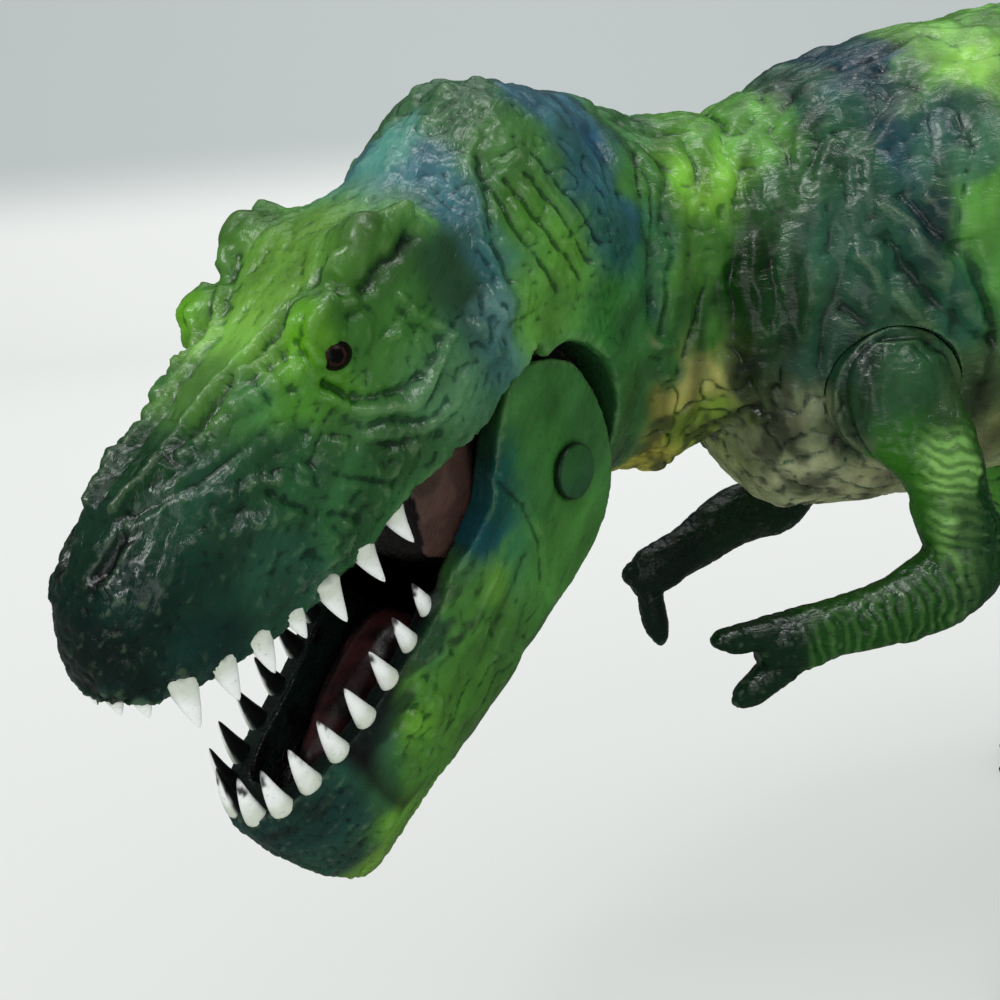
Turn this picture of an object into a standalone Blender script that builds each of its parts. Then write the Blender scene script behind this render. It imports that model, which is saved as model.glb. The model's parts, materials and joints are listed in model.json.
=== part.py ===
# Toy dinosaur figure: a moulded two-legged dinosaur with a hinged lower jaw and turning arms.
# Metres, +Z up. The figure faces -Y, its left side is +X, and it stands on Z = 0.

import math

import bmesh
import bpy
import numpy as np
from mathutils import Matrix, Vector

# Driving sizes of the whole figure
BACK_HEIGHT = 0.1275        # floor to the top of the hips
TORSO_LENGTH = 0.1245       # tail seam to neck seam, along Y
TAIL_SEAM_Y = 0.016         # place of the tail seam before the figure is centred
CHEST_HALF_WIDTH = 0.0228
TAIL_LENGTH = 0.150
TAIL_SWAY = 0.034           # how far the tail's tip lies to the right
FIT_GAP = 0.0003            # clearance between neighbouring mouldings
RUNNING_GAP = 0.00008       # clearance of the pin and the arm pegs in their holes
OVERRUN = 0.004             # how far a cutter runs past what it cuts

# Head, measured from the jaw pin, which is the head's own origin
HEAD_LENGTH = 0.0578        # pin to the tip of the snout
HEAD_HALF_WIDTH = 0.0148
HEAD_TOP = 0.043            # pin to the top of the nape
HEAD_TURN = math.radians(41)
HEAD_PITCH = math.radians(15)
HEAD_ROLL = math.radians(-3.5)
PIN_AHEAD = 0.0075          # pin in front of the torso's front end
PIN_X = 0.0123
PIN_Y = TAIL_SEAM_Y - TORSO_LENGTH - PIN_AHEAD
PIN_HEIGHT = 0.077

# Lower jaw and its pin
JAW_LENGTH = 0.0525
JAW_HALF_WIDTH = 0.0136
JAW_DEPTH = 0.0145
JAW_OPEN = math.radians(24)     # the photographed rest position, from shut
JAW_TRAVEL = math.radians(29)   # shut to wide open
EAR_RADIUS = 0.0158
EAR_INNER = 0.0088              # inner face of the ears, from the middle
CORE_HALF_WIDTH = 0.0085        # the skull's core between the ears
CORE_RADIUS = 0.0213            # front of the core, about the pin
CORE_HEEL_RADIUS = 0.0096       # back and underside of the core, about the pin
POCKET_GAP = 0.0004
PIN_RADIUS = 0.0015
PIN_HEAD_RADIUS = 0.0033
PIN_HEAD_HEIGHT = 0.0008
PIN_SEAT = 0.0123               # outer face of the ears at the pin, from the middle
TROUGH_FLOOR = 0.0094           # jaw floor below the pin, jaw shut
TONGUE_ROOT = 0.0072            # widest level of the tongue, below the pin
TONGUE_SINK = 0.0029            # how deep the tongue sinks in the floor

# Teeth
TOOTH_LENGTH = 0.0054
TOOTH_HALF_WIDTH = 0.0020
TOOTH_HALF_THICKNESS = 0.00115
TOOTH_ROOT = 0.0022             # how deep a tooth is rooted in the gum

# Eye and nostril. Places are shares of the head's half-width, length and top.
EYE_PLACE_SHARES = (0.668, 0.466, 0.605)
NOSTRIL_PLACE_SHARES = (0.220, 0.912, 0.390)
EYE_RADIUS = 0.0016
NOSTRIL_LENGTH = 0.0028
NOSTRIL_WIDTH = 0.0011

# Neck and tail spigots
NECK_SPIGOT_RADIUS = 0.0075
TAIL_SPIGOT_RADIUS = 0.0070
SPIGOT_LENGTH = 0.008

# Arms
SHOULDER_X = 0.0180             # seat of the arm on the chest
SHOULDER_Y = -0.0665
SHOULDER_HEIGHT = 0.0805
SHOULDER_RADIUS = 0.0082
ARM_PEG_RADIUS = 0.0032
ARM_PEG_LENGTH = 0.006
ARM_REACH = 0.0325              # shoulder to finger tips, along Y
ARM_DROP = 0.0350               # shoulder to the lowest finger

# Legs
HIP_X = 0.0165
HIP_Y = -0.012
HIP_HEIGHT = 0.101
HIP_SEAT_X = 0.011              # flat inner face of the thigh
LEFT_SPLAY = 0.0100             # how far each foot stands outside its hip
RIGHT_SPLAY = 0.0200
STRIDE = 0.0160                 # each foot's distance from the middle stance
THIGH_HALF_DEPTH = 0.0185
THIGH_HALF_WIDTH = 0.0098
HIP_PEG_RADIUS = 0.004
HIP_PEG_LENGTH = 0.004
TOE_LENGTH = 0.021
TOE_RADIUS = 0.0046
SOLE_DIP = 0.0008               # how much of the foot the floor plane trims off
REAR_TOE_LEAN = math.radians(40)

# Skull sections: forward share of HEAD_LENGTH, half-width share of HEAD_HALF_WIDTH,
# top and bottom shares of HEAD_TOP, height share of the widest place, upper and lower squareness
SKULL_SHARES = (
    (1.000, 0.10, 0.200, 0.110, 0.45, 2.0, 2.0),
    (0.988, 0.24, 0.265, 0.092, 0.45, 2.2, 2.2),
    (0.955, 0.37, 0.345, 0.085, 0.42, 2.3, 2.4),
    (0.895, 0.495, 0.425, 0.085, 0.40, 2.3, 2.6),
    (0.820, 0.590, 0.485, 0.085, 0.38, 2.3, 2.8),
    (0.740, 0.655, 0.540, 0.086, 0.36, 2.3, 3.0),
    (0.650, 0.705, 0.590, 0.086, 0.35, 2.3, 3.0),
    (0.570, 0.740, 0.632, 0.080, 0.35, 2.4, 3.0),
    (0.500, 0.785, 0.672, 0.060, 0.38, 2.6, 3.0),
    (0.430, 0.830, 0.728, 0.020, 0.42, 2.9, 3.0),
    (0.345, 0.875, 0.800, -0.060, 0.46, 3.0, 3.0),
    (0.240, 0.930, 0.835, -0.140, 0.48, 2.6, 3.0),
    (0.140, 0.970, 0.876, -0.185, 0.50, 2.3, 3.0),
    (0.035, 0.990, 0.940, -0.205, 0.50, 2.1, 2.8),
    (-0.070, 1.000, 0.992, -0.212, 0.50, 2.1, 2.6),
    (-0.150, 0.986, 0.995, -0.221, 0.50, 2.1, 2.4),
    (-0.240, 0.970, 0.968, -0.232, 0.50, 2.0, 2.2),
)

# Swellings of the skull: forward share of HEAD_LENGTH, angle round the section (0 left, 90 top),
# forward size share, angle size, height share of HEAD_TOP. Each is mirrored to the other side.
SKULL_SWELLING_SHARES = (
    (0.320, 57, 0.075, 17, 0.080),      # brow horn over the eye
    (0.465, 52, 0.045, 17, 0.070),      # lower brow boss in front of it
    (0.230, 52, 0.050, 13, 0.035),      # boss behind the brow
    (0.455, 28, 0.050, 12, -0.030),     # hollow round the eye
    (0.620, 60, 0.120, 10, 0.022),      # ridge along the snout
    (0.620, 30, 0.110, 12, -0.022),     # hollow in the snout's side
    (0.880, 12, 0.080, 22, 0.022),      # front swelling of the upper lip
    (0.300, -8, 0.100, 20, 0.018),      # cheek
    (0.120, 62, 0.060, 16, -0.026),     # temple hollow
    (-0.080, 66, 0.080, 20, 0.018),     # nape muscle
)

# Lip line: forward share of HEAD_LENGTH, height share of HEAD_TOP
LIP_SHARES = (
    (0.960, 0.118),
    (0.920, 0.108),
    (0.860, 0.118),
    (0.770, 0.112),
    (0.655, 0.122),
    (0.560, 0.152),
    (0.470, 0.200),
    (0.400, 0.235),
    (0.315, 0.268),
    (0.220, 0.300),
    (0.130, 0.358),
    (0.043, 0.405),
)

# Palate hollow: forward share of HEAD_LENGTH, half-width share of HEAD_HALF_WIDTH,
# roof share of HEAD_TOP
PALATE_SHARES = (
    (0.372, 0.50, 0.285),
    (0.395, 0.58, 0.300),
    (0.450, 0.595, 0.300),
    (0.560, 0.590, 0.285),
    (0.680, 0.565, 0.270),
    (0.790, 0.510, 0.255),
    (0.870, 0.420, 0.235),
    (0.915, 0.300, 0.200),
)

# Ear outline: degrees round the pin (0 forward, 90 up, jaw shut), share of EAR_RADIUS
EAR_SHARES = (
    (27, 0.950),
    (36, 0.860),
    (45, 0.840),
    (55, 0.840),
    (70, 0.875),
    (87, 0.940),
    (98, 0.970),
    (108, 0.915),
    (120, 0.850),
    (133, 0.795),
    (145, 0.700),
    (166, 0.585),
    (185, 0.530),
    (205, 0.512),
    (225, 0.525),
    (250, 0.575),
    (270, 0.645),
    (288, 0.745),
)

# Jaw outline beyond the ear: forward share of JAW_LENGTH, height share of JAW_DEPTH (pin at zero)
JAW_OUTLINE_SHARES = (
    (0.145, -0.790),
    (0.260, -0.800),
    (0.345, -0.850),
    (0.430, -0.950),
    (0.510, -1.030),
    (0.590, -1.060),
    (0.670, -1.020),
    (0.740, -0.965),
    (0.800, -1.010),
    (0.870, -1.120),
    (0.925, -1.090),
    (0.965, -0.800),
    (0.990, -0.450),
    (1.000, -0.060),
    (0.985, 0.180),
    (0.930, 0.190),
    (0.850, 0.165),
    (0.700, 0.145),
    (0.600, 0.175),
    (0.500, 0.225),
    (0.440, 0.290),
    (0.375, 0.440),
    (0.310, 0.470),
)

# Jaw sections: forward share of JAW_LENGTH, half-width share of JAW_HALF_WIDTH,
# top, widest and bottom heights as shares of JAW_DEPTH, upper and lower squareness
JAW_SHARES = (
    (-0.260, 0.900, 1.35, 0.10, -1.30, 5.0, 4.0),
    (-0.100, 0.920, 1.35, 0.10, -1.30, 5.0, 4.0),
    (0.060, 0.930, 1.35, 0.10, -1.30, 5.0, 3.4),
    (0.180, 0.925, 1.30, 0.00, -1.25, 4.6, 3.0),
    (0.280, 0.905, 1.25, -0.10, -1.20, 4.0, 2.8),
    (0.380, 0.855, 1.05, -0.25, -1.18, 3.6, 2.6),
    (0.480, 0.785, 0.70, -0.35, -1.17, 3.0, 2.5),
    (0.600, 0.725, 0.46, -0.40, -1.16, 2.6, 2.4),
    (0.720, 0.675, 0.42, -0.42, -1.11, 2.6, 2.3),
    (0.820, 0.610, 0.42, -0.42, -1.15, 2.6, 2.2),
    (0.900, 0.510, 0.42, -0.42, -1.23, 2.5, 2.1),
    (0.955, 0.370, 0.42, -0.42, -1.12, 2.4, 2.0),
    (0.995, 0.160, 0.38, -0.42, -0.80, 2.2, 2.0),
)

# Trough inside the jaw: forward share of JAW_LENGTH, half-width share of JAW_HALF_WIDTH,
# floor share of JAW_DEPTH
TROUGH_SHARES = (
    (0.405, 0.500, -0.42),
    (0.450, 0.500, -0.38),
    (0.600, 0.460, -0.34),
    (0.730, 0.400, -0.30),
    (0.840, 0.310, -0.22),
    (0.900, 0.180, -0.12),
)

# Tongue: forward share of JAW_LENGTH, half-width share of JAW_HALF_WIDTH, top share of JAW_DEPTH
TONGUE_SHARES = (
    (0.425, 0.22, -0.20),
    (0.450, 0.30, -0.06),
    (0.530, 0.31, 0.02),
    (0.640, 0.27, -0.02),
    (0.740, 0.21, -0.12),
    (0.800, 0.12, -0.20),
)

# Upper teeth: forward share of HEAD_LENGTH, outward share of HEAD_HALF_WIDTH, lip height share of HEAD_TOP,
# size share, backward lean of the tip as a share of the tooth's length
UPPER_TOOTH_SHARES = (
    (0.450, 0.722, 0.205, 0.90, 0.36),
    (0.530, 0.706, 0.168, 0.98, 0.32),
    (0.615, 0.690, 0.134, 0.96, 0.20),
    (0.690, 0.672, 0.122, 0.66, 0.16),
    (0.760, 0.640, 0.118, 0.90, 0.08),
    (0.832, 0.590, 0.112, 0.98, 0.08),
    (0.900, 0.505, 0.108, 1.06, 0.02),
    (0.955, 0.300, 0.128, 0.36, 0.05),
    (0.972, 0.130, 0.132, 0.34, 0.05),
)

# Lower teeth: forward share of JAW_LENGTH, outward share of JAW_HALF_WIDTH, edge height share of JAW_DEPTH,
# size share, backward lean of the tip as a share of the tooth's length
LOWER_TOOTH_SHARES = (
    (0.440, 0.590, 0.250, 0.74, 0.12),
    (0.520, 0.575, 0.200, 0.80, 0.10),
    (0.605, 0.560, 0.165, 0.88, 0.10),
    (0.695, 0.535, 0.140, 0.92, 0.12),
    (0.780, 0.490, 0.150, 0.94, 0.16),
    (0.860, 0.420, 0.155, 0.98, 0.20),
    (0.925, 0.310, 0.165, 1.00, 0.26),
    (0.962, 0.130, 0.170, 0.96, 0.34),
)

# Torso sections: along share of TORSO_LENGTH from the tail seam, sideways and half-width shares of
# CHEST_HALF_WIDTH, centre height, up and down shares of BACK_HEIGHT, turn and pitch shares of the head's
TORSO_SHARES = (
    (0.000, 0.00, 0.70, 0.812, 0.168, 0.172, 0.00, 0.00),
    (0.081, 0.00, 0.81, 0.804, 0.190, 0.192, 0.00, 0.00),
    (0.169, 0.00, 0.90, 0.794, 0.208, 0.206, 0.00, 0.00),
    (0.274, -0.02, 0.96, 0.776, 0.227, 0.212, 0.00, 0.00),
    (0.387, -0.06, 0.98, 0.757, 0.242, 0.212, 0.00, 0.00),
    (0.500, -0.10, 1.00, 0.741, 0.249, 0.222, 0.00, 0.00),
    (0.597, -0.13, 0.965, 0.729, 0.245, 0.228, 0.00, 0.00),
    (0.685, -0.15, 0.895, 0.722, 0.232, 0.222, 0.00, 0.00),
    (0.774, -0.15, 0.790, 0.722, 0.204, 0.190, 0.10, 0.00),
    (0.850, -0.11, 0.690, 0.735, 0.178, 0.166, 0.34, 0.25),
    (0.925, 0.02, 0.640, 0.737, 0.196, 0.178, 0.66, 0.60),
)

# Swellings of the torso: along share, angle round the section, along size share, angle size,
# height share of CHEST_HALF_WIDTH. Each is mirrored to the other side.
TORSO_SWELLING_SHARES = (
    (0.620, 18, 0.080, 24, 0.060),      # shoulder blade
    (0.700, -32, 0.060, 22, 0.070),     # muscle at the root of the arm
    (0.500, -20, 0.070, 24, -0.040),    # hollow behind the arm
    (0.330, -38, 0.110, 26, 0.050),     # belly
    (0.120, 30, 0.080, 24, 0.050),      # hip
    (0.820, -76, 0.030, 26, -0.080),    # fold under the throat
    (0.910, -72, 0.030, 24, 0.060),     # throat
    (0.740, -80, 0.045, 24, 0.060),     # front of the chest
    (0.800, 84, 0.040, 30, -0.040),     # dip behind the nape
)

# Tail sections: along share of TAIL_LENGTH, half-width and half-height as shares of its root,
# centre drop share of BACK_HEIGHT, sway share of TAIL_SWAY
TAIL_SHARES = (
    (0.07, 0.95, 0.94, 0.006, 0.00),
    (0.18, 0.84, 0.84, 0.026, 0.02),
    (0.31, 0.70, 0.72, 0.060, 0.07),
    (0.44, 0.57, 0.60, 0.094, 0.16),
    (0.57, 0.45, 0.48, 0.120, 0.30),
    (0.70, 0.34, 0.36, 0.134, 0.47),
    (0.81, 0.24, 0.26, 0.134, 0.64),
    (0.90, 0.16, 0.17, 0.124, 0.80),
    (0.965, 0.09, 0.095, 0.112, 0.93),
    (1.00, 0.03, 0.03, 0.104, 1.00),
)

# Leg centre line: forward share of HIP_HEIGHT, height share of HIP_HEIGHT, share of the foot's splay,
# half-depth share of THIGH_HALF_DEPTH, half-width share of THIGH_HALF_WIDTH, stride share of STRIDE
LEG_SHARES = (
    (-0.010, 1.175, -0.10, 0.30, 0.30, 0.00),
    (0.000, 1.150, -0.05, 0.66, 0.62, 0.00),
    (0.000, 1.080, 0.00, 0.92, 0.88, 0.00),
    (0.005, 0.980, 0.08, 1.04, 1.00, 0.02),
    (0.040, 0.870, 0.22, 1.02, 1.04, 0.06),
    (0.095, 0.760, 0.44, 0.88, 1.00, 0.12),
    (0.150, 0.665, 0.66, 0.68, 0.88, 0.19),
    (0.165, 0.590, 0.80, 0.56, 0.76, 0.25),
    (0.120, 0.510, 0.88, 0.51, 0.68, 0.33),
    (0.055, 0.430, 0.94, 0.43, 0.58, 0.44),
    (-0.010, 0.350, 0.98, 0.34, 0.50, 0.57),
    (-0.035, 0.280, 1.00, 0.295, 0.46, 0.70),
    (-0.015, 0.210, 1.00, 0.28, 0.46, 0.82),
    (0.025, 0.135, 1.00, 0.30, 0.52, 0.93),
    (0.065, 0.070, 1.00, 0.31, 0.62, 1.00),
    (0.095, 0.030, 1.00, 0.20, 0.60, 1.02),
)

# Toes: outward lean in degrees, length share of TOE_LENGTH
TOE_SHARES = (
    (-26, 0.86),
    (0, 1.00),
    (27, 0.88),
)
# Along a toe: forward share, height share of TOE_RADIUS, half-width and half-height shares of TOE_RADIUS
TOE_SECTION_SHARES = (
    (-0.10, 1.05, 0.70, 0.90),
    (0.12, 1.05, 1.00, 1.08),
    (0.34, 0.86, 0.88, 0.90),
    (0.52, 0.90, 0.98, 0.98),
    (0.70, 0.72, 0.78, 0.76),
    (0.80, 0.74, 0.56, 0.60),
    (0.92, 0.46, 0.34, 0.40),
    (1.04, 0.20, 0.14, 0.18),
)

# Arm centre lines: reach share of ARM_REACH (forward), drop share of ARM_DROP, outward share of
# SHOULDER_RADIUS, half-depth and half-width as shares of SHOULDER_RADIUS
LEFT_ARM_SHARES = (
    (0.02, -0.19, 0.36, 0.40, 0.28),
    (0.02, -0.10, 0.44, 0.74, 0.36),
    (-0.02, 0.06, 0.56, 0.80, 0.42),
    (-0.108, 0.214, 0.70, 0.64, 0.46),
    (-0.175, 0.414, 0.68, 0.58, 0.48),
    (-0.215, 0.555, 0.70, 0.62, 0.50),
    (-0.160, 0.665, 0.70, 0.63, 0.48),
    (-0.015, 0.740, 0.66, 0.575, 0.46),
    (0.142, 0.783, 0.58, 0.490, 0.42),
    (0.292, 0.811, 0.50, 0.455, 0.40),
    (0.422, 0.840, 0.44, 0.490, 0.38),
    (0.523, 0.856, 0.42, 0.420, 0.32),
    (0.590, 0.862, 0.40, 0.260, 0.20),
)
RIGHT_ARM_SHARES = (
    (0.02, -0.19, 0.36, 0.40, 0.28),
    (0.02, -0.10, 0.44, 0.74, 0.36),
    (0.00, 0.06, 0.56, 0.80, 0.42),
    (-0.04, 0.26, 0.70, 0.64, 0.46),
    (-0.06, 0.44, 0.70, 0.60, 0.48),
    (-0.05, 0.565, 0.70, 0.62, 0.50),
    (0.015, 0.655, 0.70, 0.62, 0.48),
    (0.120, 0.690, 0.66, 0.60, 0.46),
    (0.255, 0.728, 0.60, 0.57, 0.42),
    (0.385, 0.777, 0.54, 0.52, 0.40),
    (0.508, 0.834, 0.48, 0.47, 0.38),
    (0.630, 0.891, 0.44, 0.49, 0.36),
    (0.723, 0.934, 0.42, 0.40, 0.30),
    (0.785, 0.960, 0.40, 0.22, 0.18),
)
# Fingers: start and end reach shares, start and end drop shares, outward share at the tip
LEFT_FINGER_SHARES = (
    (0.431, 0.760, 0.797, 0.814, 0.46),
    (0.431, 0.677, 0.894, 1.071, 0.34),
)
RIGHT_FINGER_SHARES = (
    (0.620, 0.820, 0.880, 0.930, 0.46),
    (0.700, 0.645, 0.950, 1.250, 0.34),
)
FINGER_ROOT_SHARE = 0.42        # outward place of a finger's root, of SHOULDER_RADIUS
HUB_SHARE = 0.42                # thickness of the arm's round hub, of SHOULDER_RADIUS
CHEST_SHIFT_SHARE = -0.14       # the chest's middle lies to the right of the hips', of CHEST_HALF_WIDTH
# Along a finger: position share, radius share of SHOULDER_RADIUS
FINGER_SECTION_SHARES = (
    (-0.05, 0.240),
    (0.20, 0.265),
    (0.50, 0.255),
    (0.72, 0.240),
    (0.90, 0.165),
    (1.00, 0.060),
)

# Counts
BODY_POINTS = 32            # round the head, torso and tail
JAW_POINTS = 24
LEG_POINTS = 20
ARM_POINTS = 14
TOE_POINTS = 10
FINGER_POINTS = 8
TOOTH_POINTS = 6
CIRCLE_POINTS = 24
BODY_SQUARENESS = 2.2       # power of a section: 2 is an ellipse, higher is boxier
SKULL_STEPS = 2             # rings made between two rows of a table
TORSO_STEPS = 2
TAIL_STEPS = 1
JAW_STEPS = 2

SIDES = (1, -1)
SHARP_ANGLE = math.radians(38)  # edges steeper than this are drawn sharp


# Helpers

def clear_scene():
    for item in list(bpy.data.objects):
        bpy.data.objects.remove(item, do_unlink=True)


def plastic(name, colour, roughness):
    material = bpy.data.materials.new(name)
    material.use_nodes = True
    shader = material.node_tree.nodes["Principled BSDF"]
    shader.inputs["Base Color"].default_value = (*colour, 1.0)
    shader.inputs["Roughness"].default_value = roughness
    shader.inputs["Metallic"].default_value = 0.0
    return material


def smooth_rows(rows, steps):
    """Rows on a smooth curve through the given rows: cubic pieces with mean slopes at the rows."""
    rows = np.asarray(rows, dtype=float)
    slopes = np.gradient(rows, axis=0)
    out = []
    for index in range(len(rows) - 1):
        for step in range(steps):
            t = step / steps
            out.append(
                rows[index] * (2 * t ** 3 - 3 * t ** 2 + 1)
                + slopes[index] * (t ** 3 - 2 * t ** 2 + t)
                + rows[index + 1] * (3 * t ** 2 - 2 * t ** 3)
                + slopes[index + 1] * (t ** 3 - t ** 2)
            )
    out.append(rows[-1])
    return np.array(out)


def section(centre, side, up, half_width, rise, drop, upper_power, lower_power, count):
    """A ring of points: a rounded box, with its own height above and below its widest place."""
    points = []
    for index in range(count):
        angle = 2 * math.pi * index / count
        power = upper_power if math.sin(angle) >= 0 else lower_power
        across = math.copysign(abs(math.cos(angle)) ** (2 / power), math.cos(angle))
        height = math.copysign(abs(math.sin(angle)) ** (2 / power), math.sin(angle))
        reach = rise if height >= 0 else drop
        points.append(centre + side * (half_width * across) + up * (reach * height))
    return points


def swell(rings, positions, swellings, size):
    """Push ring points outward round each named place, on both sides of the body."""
    for ring, position in zip(rings, positions):
        centre = sum(ring, Vector()) / len(ring)
        for index, point in enumerate(ring):
            angle = 360 * index / len(ring)
            push = 0
            for place, bearing, spread, fan, height in swellings:
                along = (position - place) / spread
                for mirrored in (bearing, 180 - bearing):
                    turn = (angle - mirrored + 180) % 360 - 180
                    push += height * math.exp(-along ** 2 - (turn / fan) ** 2)
            ring[index] = point + (point - centre).normalized() * (push * size)
    return rings


def solid(name, faces_from, material=None):
    """An object from points and faces, with every face turned outward."""
    points, faces = faces_from
    mesh = bpy.data.meshes.new(name)
    mesh.from_pydata([tuple(point) for point in points], [], faces)
    shape = bmesh.new()
    shape.from_mesh(mesh)
    bmesh.ops.recalc_face_normals(shape, faces=shape.faces)
    bmesh.ops.triangulate(shape, faces=[face for face in shape.faces if len(face.verts) > 4])
    shape.to_mesh(mesh)
    shape.free()
    mesh.shade_smooth()
    item = bpy.data.objects.new(name, mesh)
    bpy.context.collection.objects.link(item)
    if material:
        mesh.materials.append(material)
    return item


def skinned(rings):
    """Points and faces of a skin over rings of equal count, closed by a fan at each end."""
    count = len(rings[0])
    points = [point for ring in rings for point in ring]
    faces = []
    for row in range(len(rings) - 1):
        for index in range(count):
            following = (index + 1) % count
            low = row * count
            faces.append((low + index, low + following, low + count + following, low + count + index))
    for ring, first in ((rings[0], 0), (rings[-1], len(rings) * count - count)):
        hub = len(points)
        points.append(sum(ring, Vector()) / count)
        for index in range(count):
            faces.append((first + index, first + (index + 1) % count, hub))
    return points, faces


def prism(outline, near, far):
    """An outline of (forward, up) pairs carried from near to far along X; forward is -Y."""
    count = len(outline)
    points = [Vector((x, -forward, up)) for x in (near, far) for forward, up in outline]
    faces = [tuple(range(count)), tuple(range(count, 2 * count))]
    for index in range(count):
        following = (index + 1) % count
        faces.append((index, following, count + following, count + index))
    return points, faces


def lathe(profile, centre=Vector()):
    """A solid turned about a line along X, from (place, radius) pairs."""
    turns = [2 * math.pi * index / CIRCLE_POINTS for index in range(CIRCLE_POINTS)]
    rings = [
        [Vector((x, radius * math.cos(turn), radius * math.sin(turn))) + centre for turn in turns]
        for x, radius in profile
    ]
    return skinned(rings)


def disc(radius, near, far, centre=Vector()):
    """A round bar along X."""
    return lathe([(near, radius), (far, radius)], centre)


def bar(radius, start, end):
    """A round bar between two points."""
    direction = (end - start).normalized()
    side = direction.orthogonal().normalized()
    up = direction.cross(side)
    turns = [2 * math.pi * index / CIRCLE_POINTS for index in range(CIRCLE_POINTS)]
    rings = [
        [place + side * (radius * math.cos(turn)) + up * (radius * math.sin(turn)) for turn in turns]
        for place in (start, end)
    ]
    return skinned(rings)


def limb(rows, side, count, power=2.0):
    """A skin along a line: rows of (centre, half-depth, half-width) across the line and along side."""
    rings = []
    for index, (centre, half_depth, half_width) in enumerate(rows):
        before = rows[max(index - 1, 0)][0]
        after = rows[min(index + 1, len(rows) - 1)][0]
        direction = (after - before).normalized()
        across = direction.cross(side).normalized()
        rings.append(section(centre, side, across, half_width, half_depth, half_depth, power, power, count))
    return skinned(rings)


def combine(target, shapes, operation):
    """Cut, join or intersect with all the shapes in one exact step, and apply the result."""
    group = bpy.data.collections.new("tools")
    bpy.context.scene.collection.children.link(group)
    for shape in shapes:
        tool = solid("tool", shape)
        group.objects.link(tool)
        bpy.context.collection.objects.unlink(tool)
    modifier = target.modifiers.new(operation.lower(), "BOOLEAN")
    modifier.operation = operation
    modifier.operand_type = "COLLECTION"
    modifier.collection = group
    modifier.solver = "EXACT"
    graph = bpy.context.evaluated_depsgraph_get()
    result = bpy.data.meshes.new_from_object(target.evaluated_get(graph))
    target.modifiers.remove(modifier)
    old = target.data
    target.data = result
    bpy.data.meshes.remove(old)
    for tool in list(group.objects):
        bpy.data.objects.remove(tool, do_unlink=True)
    bpy.data.collections.remove(group)
    return target


def cut(target, *shapes):
    return combine(target, shapes, "DIFFERENCE")


def join(target, *shapes):
    return combine(target, shapes, "UNION")


def keep(target, shape):
    return combine(target, [shape], "INTERSECT")


# Head

def skull_rings():
    """Rings from the snout back to the neck seam, in the head's own frame."""
    rows = smooth_rows(SKULL_SHARES, SKULL_STEPS)
    rings = []
    for forward, width, top, bottom, middle, upper, lower in rows:
        widest = (bottom + (top - bottom) * middle) * HEAD_TOP
        centre = Vector((0, -forward * HEAD_LENGTH, widest))
        rings.append(section(
            centre, Vector((1, 0, 0)), Vector((0, 0, 1)), width * HEAD_HALF_WIDTH,
            top * HEAD_TOP - widest, widest - bottom * HEAD_TOP, upper, lower, BODY_POINTS,
        ))
    return swell(rings, rows[:, 0], SKULL_SWELLING_SHARES, HEAD_TOP)


def ear_radius(degrees):
    angles = [row[0] for row in EAR_SHARES]
    shares = [row[1] for row in EAR_SHARES]
    return float(np.interp(degrees, angles, shares)) * EAR_RADIUS


def pocket_outline():
    """The room that the ear sweeps from shut to wide open, about the pin."""
    travel = math.degrees(JAW_TRAVEL)
    outline = []
    for degrees in range(0, 360, 8):
        swept = [ear_radius(degrees + travel * step / 8) for step in range(9)]
        radius = max(swept) + POCKET_GAP
        turn = math.radians(degrees)
        outline.append((radius * math.cos(turn), radius * math.sin(turn)))
    return outline


def lip_line():
    rows = smooth_rows(LIP_SHARES, 2)
    return [(forward * HEAD_LENGTH, height * HEAD_TOP) for forward, height in rows]


def mouth_outline():
    """Everything below the lip line and in front of the skull's core."""
    lip = [point for point in lip_line() if point[0] > CORE_RADIUS]
    depth = HEAD_TOP
    turns = [math.radians(degrees) for degrees in range(14, -25, -6)]
    core = [(CORE_RADIUS * math.cos(turn), CORE_RADIUS * math.sin(turn)) for turn in turns]
    front = HEAD_LENGTH + OVERRUN
    return [(front, -depth), (front, lip[0][1])] + lip + core + [(CORE_RADIUS, -depth)]


def cheek_outline():
    """Everything below the lip line beside the skull's core."""
    lip = lip_line()
    return lip + [(lip[-1][0], -HEAD_TOP), (HEAD_LENGTH, -HEAD_TOP)]


def heel_outline():
    """Everything under the skull's core, so that the jaw's floor can swing past it."""
    heel = CORE_HEEL_RADIUS
    level = TROUGH_FLOOR - 2 * FIT_GAP
    turns = [math.radians(degrees) for degrees in range(196, 286, 11)]
    arc = [(heel * math.cos(turn), heel * math.sin(turn)) for turn in turns]
    reach = math.sqrt(heel ** 2 - level ** 2)
    return arc + [(reach, -level), (HEAD_LENGTH, -level), (HEAD_LENGTH, -HEAD_TOP), (arc[0][0], -HEAD_TOP)]


def palate():
    rings = []
    for forward, width, roof in smooth_rows(PALATE_SHARES, 1):
        centre = Vector((0, -forward * HEAD_LENGTH, 0))
        rings.append(section(
            centre, Vector((1, 0, 0)), Vector((0, 0, 1)), width * HEAD_HALF_WIDTH,
            roof * HEAD_TOP, HEAD_TOP, 4.0, 4.0, JAW_POINTS,
        ))
    return skinned(rings)


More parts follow.
